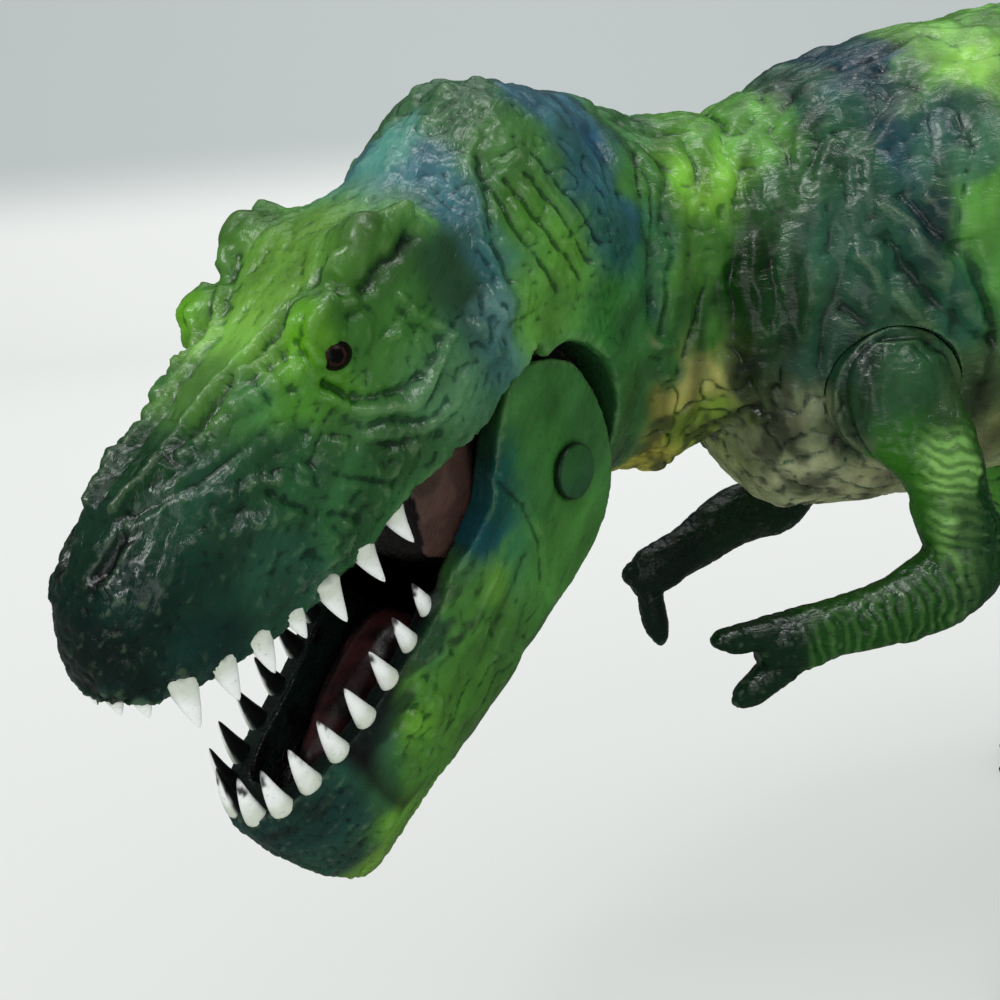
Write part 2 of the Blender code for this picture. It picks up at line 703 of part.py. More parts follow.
def tooth(root, outward, size_share, lean_share, pointing):
    """A flattened cone with a slight curve: root centre, outward direction, size, lean, up or down."""
    length = TOOTH_LENGTH * size_share
    wide = TOOTH_HALF_WIDTH * size_share ** 0.5
    thick = TOOTH_HALF_THICKNESS * size_share ** 0.5
    along = Vector((outward.y, -outward.x, 0))
    rings = []
    for share, taper in ((-TOOTH_ROOT / length, 0.95), (0.10, 1.0), (0.60, 0.68), (1.0, 0.12)):
        back = Vector((0, 1, 0)) * (lean_share * length * max(share, 0) ** 1.5)
        centre = root + Vector((0, 0, pointing)) * (length * share) + back
        rings.append(section(
            centre, along, outward, wide * taper, thick * taper, thick * taper, 2.0, 2.0, TOOTH_POINTS,
        ))
    return skinned(rings)


def tooth_row(table, length, half_width, height, pointing):
    """Both sides of a row of teeth. Each tooth faces across the line to its neighbours."""
    rows = [(row[0] * length, row[1] * half_width) for row in table]
    teeth = []
    for index, (forward, outward, level, size, lean) in enumerate(table):
        before = rows[max(index - 1, 0)]
        after = rows[min(index + 1, len(rows) - 1)]
        tangent = Vector((after[1] - before[1], -(after[0] - before[0]), 0)).normalized()
        for side in SIDES:
            normal = Vector((-tangent.y * side, tangent.x, 0))
            root = Vector((side * outward * half_width, -forward * length, level * height))
            teeth.append(tooth(root, normal, size, lean, pointing))
    return teeth


def head_place(side, shares):
    across, forward, up = shares
    return Vector((side * across * HEAD_HALF_WIDTH, -forward * HEAD_LENGTH, up * HEAD_TOP))


def eye(side):
    """A low round bead in the hollow under the brow."""
    place = head_place(side, EYE_PLACE_SHARES)
    bead = bmesh.new()
    bmesh.ops.create_uvsphere(bead, u_segments=10, v_segments=6, radius=EYE_RADIUS)
    points = [place + vert.co for vert in bead.verts]
    bead.verts.ensure_lookup_table()
    faces = [tuple(vert.index for vert in face.verts) for face in bead.faces]
    bead.free()
    return points, faces


def nostril(side):
    """A slanting slit, sunk in the upper side of the snout's front."""
    place = head_place(side, NOSTRIL_PLACE_SHARES)
    direction = Vector((side * 0.21, 0.74, 0.64)).normalized()
    outward = Vector((side * 0.95, -0.31, 0)).normalized()
    rows = []
    for share, size in ((-1, 0.15), (-0.6, 0.8), (0, 1.0), (0.6, 0.8), (1, 0.15)):
        radius = NOSTRIL_WIDTH * size
        rows.append((place + direction * (NOSTRIL_LENGTH * share), radius, radius))
    return limb(rows, outward, FINGER_POINTS)


def make_head(material):
    rings = skull_rings()
    head = solid("head", skinned(rings), material)
    wide = HEAD_HALF_WIDTH + 2 * OVERRUN
    tools = [
        prism(mouth_outline(), -wide, wide),
        prism(heel_outline(), -wide, wide),
        palate(),
        disc(PIN_RADIUS + RUNNING_GAP, -wide, wide),
    ]
    for side in SIDES:
        tools.append(prism(pocket_outline(), side * CORE_HALF_WIDTH, side * wide))
        tools.append(prism(cheek_outline(), side * CORE_HALF_WIDTH, side * wide))
        tools.append(nostril(side))
    cut(head, *tools)
    teeth = tooth_row(UPPER_TOOTH_SHARES, HEAD_LENGTH, HEAD_HALF_WIDTH, HEAD_TOP, -1)
    join(head, eye(1), eye(-1), *teeth)
    seam = sum(rings[-1], Vector()) / len(rings[-1])
    inner = seam - Vector((0, OVERRUN, 0))
    join(head, bar(NECK_SPIGOT_RADIUS, inner, seam + Vector((0, SPIGOT_LENGTH, 0))))
    return head


# Lower jaw

def jaw_outline():
    """The ear's round, the underside, the chin and the tooth edge, jaw shut."""
    ear = []
    for degrees in range(36, 289, 12):
        turn = math.radians(degrees)
        radius = ear_radius(degrees)
        ear.append((radius * math.cos(turn), radius * math.sin(turn)))
    rest = [(forward * JAW_LENGTH, height * JAW_DEPTH) for forward, height in JAW_OUTLINE_SHARES]
    return ear + rest


def jaw_rings():
    rings = []
    for forward, width, top, middle, bottom, upper, lower in smooth_rows(JAW_SHARES, JAW_STEPS):
        centre = Vector((0, -forward * JAW_LENGTH, middle * JAW_DEPTH))
        rings.append(section(
            centre, Vector((1, 0, 0)), Vector((0, 0, 1)), width * JAW_HALF_WIDTH,
            (top - middle) * JAW_DEPTH, (middle - bottom) * JAW_DEPTH, upper, lower, JAW_POINTS,
        ))
    return rings


def trough():
    """The hollow in front of the core, between the tooth rows."""
    rings = []
    for forward, width, floor in TROUGH_SHARES:
        centre = Vector((0, -forward * JAW_LENGTH, floor * JAW_DEPTH + JAW_DEPTH))
        rings.append(section(
            centre, Vector((1, 0, 0)), Vector((0, 0, 1)), width * JAW_HALF_WIDTH,
            JAW_DEPTH, JAW_DEPTH, 4.0, 3.0, JAW_POINTS,
        ))
    return skinned(rings)


def core_room():
    """The side view of the room that the skull's core needs between the ears, jaw shut to wide open."""
    reach = CORE_RADIUS + 2 * POCKET_GAP
    turns = [math.radians(degrees) for degrees in range(-24, 61, 7)]
    front = [(reach * math.cos(turn), max(reach * math.sin(turn), -TROUGH_FLOOR)) for turn in turns]
    heel = CORE_HEEL_RADIUS + POCKET_GAP
    level = math.sqrt(heel ** 2 - TROUGH_FLOOR ** 2)
    back = -2 * EAR_RADIUS
    deep = 2 * JAW_DEPTH
    return front + [(0, deep), (back, deep), (back, -deep), (level, -deep), (level, -TROUGH_FLOOR)]


def tongue():
    rings = []
    for forward, width, top in smooth_rows(TONGUE_SHARES, 1):
        centre = Vector((0, -forward * JAW_LENGTH, -TONGUE_ROOT))
        rings.append(section(
            centre, Vector((1, 0, 0)), Vector((0, 0, 1)), width * JAW_HALF_WIDTH,
            top * JAW_DEPTH + TONGUE_ROOT, TONGUE_SINK, 2.4, 2.0, TOE_POINTS,
        ))
    return skinned(rings)


def make_jaw(material):
    jaw = solid("lower_jaw", skinned(jaw_rings()), material)
    wide = JAW_HALF_WIDTH + OVERRUN
    keep(jaw, prism(jaw_outline(), -wide, wide))
    bore = PIN_RADIUS + RUNNING_GAP
    recess = PIN_HEAD_RADIUS + FIT_GAP
    pin_room = lathe([
        (-wide, recess), (-PIN_SEAT, recess), (-PIN_SEAT, bore),
        (PIN_SEAT, bore), (PIN_SEAT, recess), (wide, recess),
    ])
    cut(jaw, prism(core_room(), -EAR_INNER, EAR_INNER), trough(), pin_room)
    teeth = tooth_row(LOWER_TOOTH_SHARES, JAW_LENGTH, JAW_HALF_WIDTH, JAW_DEPTH, 1)
    return join(jaw, tongue(), *teeth)


# Jaw pin

def make_pin(material):
    """Shaft and left head; the shaft ends inside the cap."""
    face = PIN_SEAT + FIT_GAP
    top = face + PIN_HEAD_HEIGHT
    return solid("jaw_pin", lathe([
        (-face - PIN_HEAD_HEIGHT / 4, PIN_RADIUS), (face, PIN_RADIUS),
        (face, PIN_HEAD_RADIUS), (top, PIN_HEAD_RADIUS),
    ]), material)


def make_cap(material):
    """The right head, a cup pressed over the shaft's end."""
    face = PIN_SEAT + FIT_GAP
    bore = PIN_RADIUS + RUNNING_GAP
    return solid("jaw_pin_cap", lathe([
        (-face - PIN_HEAD_HEIGHT / 2, bore), (-face, bore),
        (-face, PIN_HEAD_RADIUS), (-face - PIN_HEAD_HEIGHT, PIN_HEAD_RADIUS),
    ]), material)


# Torso, neck and tail

def turned(turn, pitch):
    """Side and up directions of a section that is turned to the left and pitched down."""
    facing = Matrix.Rotation(turn, 3, "Z") @ Matrix.Rotation(pitch, 3, "X")
    return facing @ Vector((1, 0, 0)), facing @ Vector((0, 0, 1))


def torso_rings(head_frame):
    rows = smooth_rows(TORSO_SHARES, TORSO_STEPS)
    rings = []
    for along, sideways, width, height, rise, drop, turn, pitch in rows:
        centre = Vector((
            sideways * CHEST_HALF_WIDTH, TAIL_SEAM_Y - along * TORSO_LENGTH, height * BACK_HEIGHT,
        ))
        side, up = turned(turn * HEAD_TURN, pitch * HEAD_PITCH)
        rings.append(section(
            centre, side, up, width * CHEST_HALF_WIDTH, rise * BACK_HEIGHT, drop * BACK_HEIGHT,
            BODY_SQUARENESS, BODY_SQUARENESS, BODY_POINTS,
        ))
    swell(rings, rows[:, 0], TORSO_SWELLING_SHARES, CHEST_HALF_WIDTH)
    seam = [head_frame @ (point + Vector((0, FIT_GAP, 0))) for point in skull_rings()[-1]]
    return rings + [seam]


def tail_rings(root_ring):
    """Rings from the torso's last section, drawn in to the tip."""
    centre = sum(root_ring, Vector()) / len(root_ring)
    half_width = max(point.x for point in root_ring) - centre.x
    half_height = max(point.z for point in root_ring) - centre.z
    first = [point + Vector((0, FIT_GAP, 0)) for point in root_ring]
    rings = [first]
    table = [(0.0, 1.0, 1.0, 0.0, 0.0)] + list(TAIL_SHARES)
    for along, width, height, sink, sway in smooth_rows(table, TAIL_STEPS)[1:]:
        place = centre + Vector((-sway * TAIL_SWAY, along * TAIL_LENGTH + FIT_GAP, -sink * BACK_HEIGHT))
        rings.append(section(
            place, Vector((1, 0, 0)), Vector((0, 0, 1)), width * half_width,
            height * half_height, height * half_height, BODY_SQUARENESS, BODY_SQUARENESS, BODY_POINTS,
        ))
    return rings


def make_tail(material, root_ring):
    rings = tail_rings(root_ring)
    tail = solid("tail", skinned(rings), material)
    seam = sum(rings[0], Vector()) / len(rings[0])
    return join(tail, bar(
        TAIL_SPIGOT_RADIUS, seam + Vector((0, OVERRUN, 0)), seam - Vector((0, SPIGOT_LENGTH, 0)),
    ))


def make_torso(material, head_frame):
    rings = torso_rings(head_frame)
    torso = solid("torso", skinned(rings), material)
    neck = sum(rings[-1], Vector()) / len(rings[-1])
    back = head_frame.to_3x3() @ Vector((0, 1, 0))
    root = sum(rings[0], Vector()) / len(rings[0])
    deep = SPIGOT_LENGTH + FIT_GAP
    tools = [
        bar(NECK_SPIGOT_RADIUS + FIT_GAP, neck - back * OVERRUN, neck + back * deep),
        bar(TAIL_SPIGOT_RADIUS + FIT_GAP, root + Vector((0, OVERRUN, 0)), root - Vector((0, deep, 0))),
    ]
    for side in SIDES:
        shoulder = Vector((0, SHOULDER_Y, SHOULDER_HEIGHT))
        seat = side * SHOULDER_X + shoulder_shift()
        outer = side * (CHEST_HALF_WIDTH + 2 * OVERRUN) + shoulder_shift()
        inner = seat - side * (ARM_PEG_LENGTH + FIT_GAP)
        peg = ARM_PEG_RADIUS + RUNNING_GAP
        pocket = SHOULDER_RADIUS + 2 * FIT_GAP
        tools.append(lathe([(inner, peg), (seat, peg), (seat, pocket), (outer, pocket)], shoulder))
        tools.append(leg_skin(side, FIT_GAP))
        tools.append(disc(
            HIP_PEG_RADIUS + FIT_GAP, side * (HIP_SEAT_X - HIP_PEG_LENGTH - FIT_GAP),
            side * (HIP_SEAT_X + OVERRUN), Vector((0, HIP_Y, HIP_HEIGHT)),
        ))
    cut(torso, *tools)
    return torso, rings


# Legs

def leg_rows(side, grow):
    rows = []
    reach = LEFT_SPLAY if side > 0 else RIGHT_SPLAY
    for forward, height, splay, depth, width, stride in smooth_rows(LEG_SHARES, 1):
        centre = Vector((
            side * (HIP_X + splay * reach),
            HIP_Y - forward * HIP_HEIGHT - side * stride * STRIDE,
            height * HIP_HEIGHT,
        ))
        rows.append((centre, depth * THIGH_HALF_DEPTH + grow, width * THIGH_HALF_WIDTH + grow))
    rows[0][0].z += grow
    return rows


def half_space(side, inner, grow):
    """A block beside the figure, from the thigh's flat inner face outward."""
    near = side * (inner - grow)
    far = side * (inner + 4 * THIGH_HALF_DEPTH)
    span = 2 * HIP_HEIGHT
    return prism([(-span, -span), (span, -span), (span, span), (-span, span)], near, far)


def leg_skin(side, grow):
    """The leg's skin grown by a clearance, cut off at its flat inner face."""
    rows = leg_rows(side, grow)
    item = solid("leg_room", limb(rows, Vector((side, 0, 0)), LEG_POINTS, BODY_SQUARENESS))
    keep(item, half_space(side, HIP_SEAT_X, grow))
    points = [vert.co.copy() for vert in item.data.vertices]
    faces = [tuple(face.vertices) for face in item.data.polygons]
    bpy.data.objects.remove(item, do_unlink=True)
    return points, faces


def toe(start, lean, length):
    heading = Vector((math.sin(lean), -math.cos(lean), 0))
    side = Vector((math.cos(lean), math.sin(lean), 0))
    rows = []
    for along, height, width, rise in TOE_SECTION_SHARES:
        centre = start + heading * (along * length) + Vector((0, 0, height * TOE_RADIUS - SOLE_DIP))
        rows.append((centre, rise * TOE_RADIUS, width * TOE_RADIUS))
    return limb(rows, side, TOE_POINTS, BODY_SQUARENESS)


def make_leg(name, side, material):
    leg = solid(name, leg_skin(side, 0), material)
    foot = leg_rows(side, 0)[-2][0]
    ball = Vector((foot.x, foot.y, 0))
    toes = [toe(ball, math.radians(lean) * side, share * TOE_LENGTH) for lean, share in TOE_SHARES]
    toes.append(toe(ball, math.pi - side * REAR_TOE_LEAN, TOE_LENGTH / 2))
    peg = disc(
        HIP_PEG_RADIUS, side * (HIP_SEAT_X - HIP_PEG_LENGTH), side * (HIP_SEAT_X + OVERRUN),
        Vector((0, HIP_Y, HIP_HEIGHT)),
    )
    join(leg, peg, *toes)
    span = 2 * HIP_HEIGHT
    ground = [(-span, -span), (span, -span), (span, 0), (-span, 0)]
    return cut(leg, prism(ground, -span, span))


# Arms

def shoulder_shift():
    return CHEST_SHIFT_SHARE * CHEST_HALF_WIDTH


def arm_place(side, reach, drop, outward):
    """A place on the arm, measured from the middle of its shoulder seat."""
    return Vector((side * outward * SHOULDER_RADIUS, -reach * ARM_REACH, -drop * ARM_DROP))


def finger(side, start_reach, end_reach, start_drop, end_drop, outward):
    start = arm_place(side, start_reach, start_drop, FINGER_ROOT_SHARE)
    end = arm_place(side, end_reach, end_drop, outward)
    rows = []
    for along, radius in FINGER_SECTION_SHARES:
        rows.append((start.lerp(end, along), radius * SHOULDER_RADIUS, radius * SHOULDER_RADIUS))
    return limb(rows, Vector((side, 0, 0)), FINGER_POINTS)


def make_arm(name, side, table, fingers, material):
    """Arm with its own origin on the shoulder's axis, at the seat."""
    rows = []
    for reach, drop, outward, depth, width in smooth_rows(table, 1):
        rows.append((
            arm_place(side, reach, drop, outward), depth * SHOULDER_RADIUS, width * SHOULDER_RADIUS,
        ))
    arm = solid(name, limb(rows, Vector((side, 0, 0)), ARM_POINTS), material)
    hub = disc(SHOULDER_RADIUS, side * FIT_GAP, side * SHOULDER_RADIUS * HUB_SHARE)
    peg = disc(ARM_PEG_RADIUS, -side * ARM_PEG_LENGTH, side * SHOULDER_RADIUS * HUB_SHARE / 2)
    return join(arm, hub, peg, *[finger(side, *row) for row in fingers])


# Assembly

def empty(name, place, rotation=None):
    item = bpy.data.objects.new(name, None)
    bpy.context.collection.objects.link(item)
    item.location = place
    if rotation:
        item.rotation_euler = rotation.to_euler()
    return item


def centre_on_floor(root, nodes):
    """Move the whole figure so that its box stands centred on the origin."""
    bpy.context.view_layer.update()
    corners = [node.matrix_world @ vert.co for node in nodes for vert in node.data.vertices]
    low = [min(corner[axis] for corner in corners) for axis in range(3)]
    high = [max(corner[axis] for corner in corners) for axis in range(3)]
    root.location = (-(low[0] + high[0]) / 2, -(low[1] + high[1]) / 2, -low[2])
    bpy.context.view_layer.update()


def main():
    clear_scene()
    green = plastic("painted_skin", (0.10, 0.22, 0.06), 0.38)
    jaw_green = plastic("painted_jaw", (0.09, 0.20, 0.06), 0.38)
    limb_green = plastic("painted_limbs", (0.12, 0.27, 0.03), 0.38)
    pin_green = plastic("pin_plastic", (0.04, 0.13, 0.04), 0.42)

    root = empty("figure", (0, 0, 0))
    facing = Matrix.Rotation(HEAD_TURN, 4, "Z") @ Matrix.Rotation(HEAD_PITCH, 4, "X")
    facing = facing @ Matrix.Rotation(-HEAD_ROLL, 4, "Y")
    head_frame = Matrix.Translation((PIN_X, PIN_Y, PIN_HEIGHT)) @ facing
    hinge = empty("jaw_hinge", (PIN_X, PIN_Y, PIN_HEIGHT), facing)
    hinge.parent = root

    head = make_head(green)
    jaw = make_jaw(jaw_green)
    pin = make_pin(pin_green)
    cap = make_cap(pin_green)
    for item in (head, jaw, pin, cap):
        item.parent = hinge
    jaw.rotation_euler = (JAW_OPEN, 0, 0)

    torso, rings = make_torso(green, head_frame)
    tail = make_tail(green, rings[0])
    nodes = [head, jaw, pin, cap, torso, tail]
    for item in (torso, tail):
        item.parent = root
    for side, name, table, fingers in (
        (1, "left", LEFT_ARM_SHARES, LEFT_FINGER_SHARES),
        (-1, "right", RIGHT_ARM_SHARES, RIGHT_FINGER_SHARES),
    ):
        leg = make_leg(name + "_leg", side, limb_green)
        leg.parent = root
        arm = make_arm(name + "_arm", side, table, fingers, limb_green)
        arm.location = (side * SHOULDER_X + shoulder_shift(), SHOULDER_Y, SHOULDER_HEIGHT)
        arm.parent = root
        nodes += [leg, arm]
    for item in nodes:
        item.data.set_sharp_from_angle(angle=SHARP_ANGLE)
    centre_on_floor(root, nodes)


main()
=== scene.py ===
# Painted toy dinosaur: skin, teeth, tongue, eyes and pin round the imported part, on a pale stage.
# Head and jaw places are millimetres from the jaw pin, as (forward, left, up), with the jaw shut.
# Body places are millimetres in the part's own frame, as (x, y, z).
import json
import math

import bmesh
import bpy
import numpy as np
from mathutils import Matrix, Vector


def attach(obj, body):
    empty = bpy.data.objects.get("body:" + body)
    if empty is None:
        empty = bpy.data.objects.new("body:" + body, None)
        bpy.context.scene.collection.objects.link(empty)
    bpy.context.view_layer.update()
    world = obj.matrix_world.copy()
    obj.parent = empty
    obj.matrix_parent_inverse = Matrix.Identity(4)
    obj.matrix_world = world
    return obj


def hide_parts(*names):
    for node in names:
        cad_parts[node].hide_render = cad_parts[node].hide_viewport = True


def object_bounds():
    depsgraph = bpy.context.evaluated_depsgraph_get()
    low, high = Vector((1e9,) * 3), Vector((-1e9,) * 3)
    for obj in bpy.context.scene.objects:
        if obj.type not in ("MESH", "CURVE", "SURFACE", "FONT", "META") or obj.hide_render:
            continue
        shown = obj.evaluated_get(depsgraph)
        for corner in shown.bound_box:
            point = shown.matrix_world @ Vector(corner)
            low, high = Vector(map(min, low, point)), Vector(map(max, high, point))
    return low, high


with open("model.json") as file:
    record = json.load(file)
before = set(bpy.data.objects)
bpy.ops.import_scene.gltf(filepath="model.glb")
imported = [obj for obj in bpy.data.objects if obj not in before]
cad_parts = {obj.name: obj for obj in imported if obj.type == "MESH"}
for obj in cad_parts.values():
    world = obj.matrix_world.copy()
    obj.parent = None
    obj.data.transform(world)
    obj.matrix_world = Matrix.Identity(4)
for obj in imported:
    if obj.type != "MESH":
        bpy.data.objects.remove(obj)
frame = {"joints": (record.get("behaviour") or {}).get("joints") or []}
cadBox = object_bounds()
lowCorner = np.array(cadBox[0])
highCorner = np.array(cadBox[1])
mm = 0.001
axisX = np.array([1.0, 0.0, 0.0])
axisZ = np.array([0.0, 0.0, 1.0])

# The figure's own sizes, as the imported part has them
figure = {
    "pin": (0.0123, -0.116, 0.077), "turn": 41, "pitch": 15, "roll": -3.5, "jawOpen": 24,
    "headLength": 0.0578, "headWidth": 0.0148, "headTop": 0.043,
    "jawLength": 0.0525, "jawWidth": 0.0136, "jawDepth": 0.0145,
    "torsoLength": 0.1245, "tailSeam": 0.016, "chestWidth": 0.0228, "backHeight": 0.1275,
}
joints = {joint["name"]: joint for joint in frame["joints"]}
pinPlace = Vector(joints["jaw_hinge"]["pos_m"])
shift = pinPlace - Vector(figure["pin"])
headFrame = Matrix.Translation(pinPlace) @ Matrix.Rotation(math.radians(figure["turn"]), 4, "Z")
headFrame = headFrame @ Matrix.Rotation(math.radians(figure["pitch"]), 4, "X")
headFrame = headFrame @ Matrix.Rotation(math.radians(-figure["roll"]), 4, "Y")
jawFrame = headFrame @ Matrix.Rotation(math.radians(figure["jawOpen"]), 4, "X")
bodyFrame = Matrix.Translation(shift)


# Shapes worked out with numpy

def alongRows(rows, places):
    # Smooth cubic through the rows, with mean slopes, read at places counted in rows
    rows = np.asarray(rows, float)
    slopes = np.gradient(rows, axis=0)
    places = np.asarray(places, float)
    low = np.minimum(places.astype(int), len(rows) - 2)
    t = (places - low).reshape((-1,) + (1,) * (rows.ndim - 1))
    return (rows[low] * (2 * t**3 - 3 * t**2 + 1) + slopes[low] * (t**3 - 2 * t**2 + t)
            + rows[low + 1] * (3 * t**2 - 2 * t**3) + slopes[low + 1] * (t**3 - t**2))


def evenly(rows, steps):
    return alongRows(rows, np.linspace(0, len(rows) - 1, (len(rows) - 1) * steps + 1))


def sections(centres, sides, ups, width, rise, drop, upper, lower, count):
    # Rings: centre + side * width * cos^(2/power) + up * height * sin^(2/power), the height being
    # rise above the widest place and drop below it
    turn = np.linspace(0, 2 * np.pi, count, endpoint=False)[None, :]
    cos, sin = np.cos(turn), np.sin(turn)
    column = lambda value: np.asarray(value, float).reshape(-1, 1)
    power = np.where(sin >= 0, column(upper), column(lower))
    across = np.sign(cos) * np.abs(cos) ** (2 / power) * column(width)
    height = np.sign(sin) * np.abs(sin) ** (2 / power) * np.where(sin >= 0, column(rise), column(drop))
    return (np.atleast_2d(centres)[:, None, :] + across[..., None] * np.atleast_2d(sides)[:, None, :]
            + height[..., None] * np.atleast_2d(ups)[:, None, :])


def limbRings(centres, side, depth, width, count, power=2.0):
    # Rings square to the line through the centres, half-width along side and half-depth across it
    before = np.vstack([centres[:1], centres[:-1]])
    after = np.vstack([centres[1:], centres[-1:]])
    across = np.cross(after - before, side)
    across /= np.linalg.norm(across, axis=1, keepdims=True)
    return sections(centres, side, across, width, depth, depth, power, power, count)


def swell(rings, places, swellings, size):
    # Push points away from their ring's middle by height * exp(-(along)^2 - (round)^2), on both sides
    centres = rings.mean(axis=1, keepdims=True)
    outward = rings - centres
    outward /= np.linalg.norm(outward, axis=2, keepdims=True)
    angle = np.linspace(0, 360, rings.shape[1], endpoint=False)[None, :]
    push = np.zeros(rings.shape[:2])
    for place, bearing, spread, fan, height in swellings:
        along = (np.asarray(places)[:, None] - place) / spread
        for mirrored in (bearing, 180 - bearing):
            turn = (angle - mirrored + 180) % 360 - 180
            push += height * np.exp(-along**2 - (turn / fan)**2)
    return rings + outward * (push * size)[..., None]


def skin(rings):
    # Points and faces of a tube over the rings, closed by a fan at each end
    rows, count = rings.shape[:2]
    row, column = np.meshgrid(np.arange(rows - 1), np.arange(count), indexing="ij")
    low = row * count + column
    side = row * count + (column + 1) % count
    quads = np.stack([low, side, side + count, low + count], axis=-1).reshape(-1, 4)
    hubs = np.array([rows * count, rows * count + 1])
    ring = np.arange(count)
    last = (rows - 1) * count
    fans = [np.stack([(ring + 1) % count, ring, np.full(count, hubs[0])], axis=-1),
            np.stack([last + ring, last + (ring + 1) % count, np.full(count, hubs[1])], axis=-1)]
    points = np.vstack([rings.reshape(-1, 3), rings[0].mean(axis=0), rings[-1].mean(axis=0)])
    return points, quads.tolist() + np.vstack(fans).tolist()


def prism(outline, near, far):
    # A side view of (forward, up) metres carried across from near to far
    outline = np.asarray(outline, float)
    count = len(outline)
    sheets = [np.column_stack([np.full(count, x), -outline[:, 0], outline[:, 1]]) for x in (near, far)]
    ring = np.arange(count)
    after = (ring + 1) % count
    walls = np.stack([ring, after, after + count, ring + count], axis=-1)
    return np.vstack(sheets), walls.tolist() + [list(range(count)), list(range(count, 2 * count))]


def lathe(profile, count=64, centre=(0, 0, 0)):
    # Pairs of (place along X, radius) turned once about a line along X
    profile = np.asarray(profile, float)
    turn = np.linspace(0, 2 * np.pi, count, endpoint=False)
    ring = np.stack([np.zeros(count), np.cos(turn), np.sin(turn)], axis=-1)
    rings = profile[:, 1, None, None] * ring[None] + profile[:, 0, None, None] * axisX
    return skin(rings + np.asarray(centre, float))


def rod(start, end, radius, count=48):
    start, end = np.asarray(start, float), np.asarray(end, float)
    side = np.cross(end - start, axisX)
    side /= np.linalg.norm(side)
    return skin(limbRings(np.array([start, end]), side, [radius] * 2, [radius] * 2, count))


# Objects and meshes

def newObject(name, pointsFaces):
    points, faces = pointsFaces
    mesh = bpy.data.meshes.new(name)
    mesh.from_pydata(np.asarray(points).tolist(), [], faces)
    shape = bmesh.new()
    shape.from_mesh(mesh)
    bmesh.ops.recalc_face_normals(shape, faces=shape.faces)
    shape.to_mesh(mesh)
    shape.free()
    mesh.shade_smooth()
    item = bpy.data.objects.new(name, mesh)
    bpy.context.scene.collection.objects.link(item)
    return item


def merged(parts):
    # Several closed skins as one list of points and faces
    points, faces, start = [], [], 0
    for partPoints, partFaces in parts:
        points.append(partPoints)
        faces += [[start + corner for corner in face] for face in partFaces]
        start += len(partPoints)
    return np.vstack(points), faces


def applyModifiers(item):
    graph = bpy.context.evaluated_depsgraph_get()
    mesh = bpy.data.meshes.new_from_object(item.evaluated_get(graph))
    item.modifiers.clear()
    old = item.data
    item.data = mesh
    bpy.data.meshes.remove(old)
    return item


def carve(item, tools, operation="DIFFERENCE"):
    made = []
    for pointsFaces in tools:
        tool = newObject("tool", pointsFaces)
        modifier = item.modifiers.new("carve", "BOOLEAN")
        modifier.operation = operation
        modifier.solver = "MANIFOLD"
        modifier.object = tool
        made.append(tool)
    applyModifiers(item)
    for tool in made:
        bpy.data.objects.remove(tool, do_unlink=True)
    return item


def remesh(item, size):
    # One even skin over everything, which also rounds the edges as a mould does
    modifier = item.modifiers.new("even", "REMESH")
    modifier.mode = "VOXEL"
    modifier.voxel_size = size
    modifier.use_smooth_shade = True
    return applyModifiers(item)


def pointsOf(item):
    points = np.empty(len(item.data.vertices) * 3, np.float32)
    item.data.vertices.foreach_get("co", points)
    return points.reshape(-1, 3).astype(float)


def setPoints(item, points):
    item.data.vertices.foreach_set("co", points.astype(np.float32).ravel())
    item.data.update()


def normalsOf(item):
    normals = np.empty(len(item.data.vertices) * 3, np.float32)
    item.data.vertex_normals.foreach_get("vector", normals)
    return normals.reshape(-1, 3).astype(float)


def averager(item):
    # A function that gives, for each point, the mean of its neighbours' values
    edges = np.empty(len(item.data.edges) * 2, np.int32)
    item.data.edges.foreach_get("vertices", edges)
    first, second = edges.reshape(-1, 2).T
    total = len(item.data.vertices)
    degree = np.bincount(first, minlength=total) + np.bincount(second, minlength=total)

    def mean(values):
        columns = [np.bincount(first, column[second], total) + np.bincount(second, column[first], total)
                   for column in values.T]
        return np.stack(columns, axis=-1) / degree[:, None]

    return mean


def relax(item, times, share=0.5):
    # Each point moves towards the mean of its neighbours
    mean = averager(item)
    points = pointsOf(item)
    for _ in range(times):
        points += (mean(points) - points) * np.reshape(share, (-1, 1))
    setPoints(item, points)


def relief(item, size, times=2):
    # 1 on crests and -1 in grooves: how far a point stands above its neighbours' mean, along its normal
    mean = averager(item)
    points = pointsOf(item)
    stand = ((points - mean(points)) * normalsOf(item)).sum(axis=1)[:, None]
    for _ in range(times):
        stand = (stand + mean(stand)) / 2
    return np.clip(stand[:, 0] / (size * mm), -1, 1)


# Noise: one number for each whole-number cell, mixed from its three coordinates

def cellRandom(cells, salt):
    mixed = cells[..., 0] * 73856093 ^ cells[..., 1] * 19349663 ^ cells[..., 2] * 83492791 ^ salt * 2654435
    mixed = (mixed ^ (mixed >> 13)) * 1274126177
    return ((mixed ^ (mixed >> 16)) & 0xFFFFFF) / float(0x1000000)


def noise(points, size, salt=0):
    # Smooth value noise from -1 to 1
    place = points / size
    low = np.floor(place).astype(np.int64)
    t = place - low
    t = t * t * (3 - 2 * t)
    total = np.zeros(len(points))
    for corner in np.ndindex(2, 2, 2):
        weight = np.prod(np.where(corner, t, 1 - t), axis=1)
        total += weight * cellRandom(low + np.array(corner), salt)
    return total * 2 - 1


def layers(points, size, count=3, salt=0):
    return sum(noise(points, size / 2**k, salt + k) / 2**k for k in range(count))


def bent(points, size, amount, salt=60):
    # Points moved about by broad noise, which makes whatever is read there wander
    return points + amount * np.stack([layers(points, size, 2, salt + k) for k in range(3)], axis=-1)


def creased(points, size, salt=0, width=0.32):
    # Round swells with creases between them, where the noise crosses zero. Its mean is about 0.
    return 0.46 - np.exp(-np.abs(layers(points, size, 2, salt)) / width)


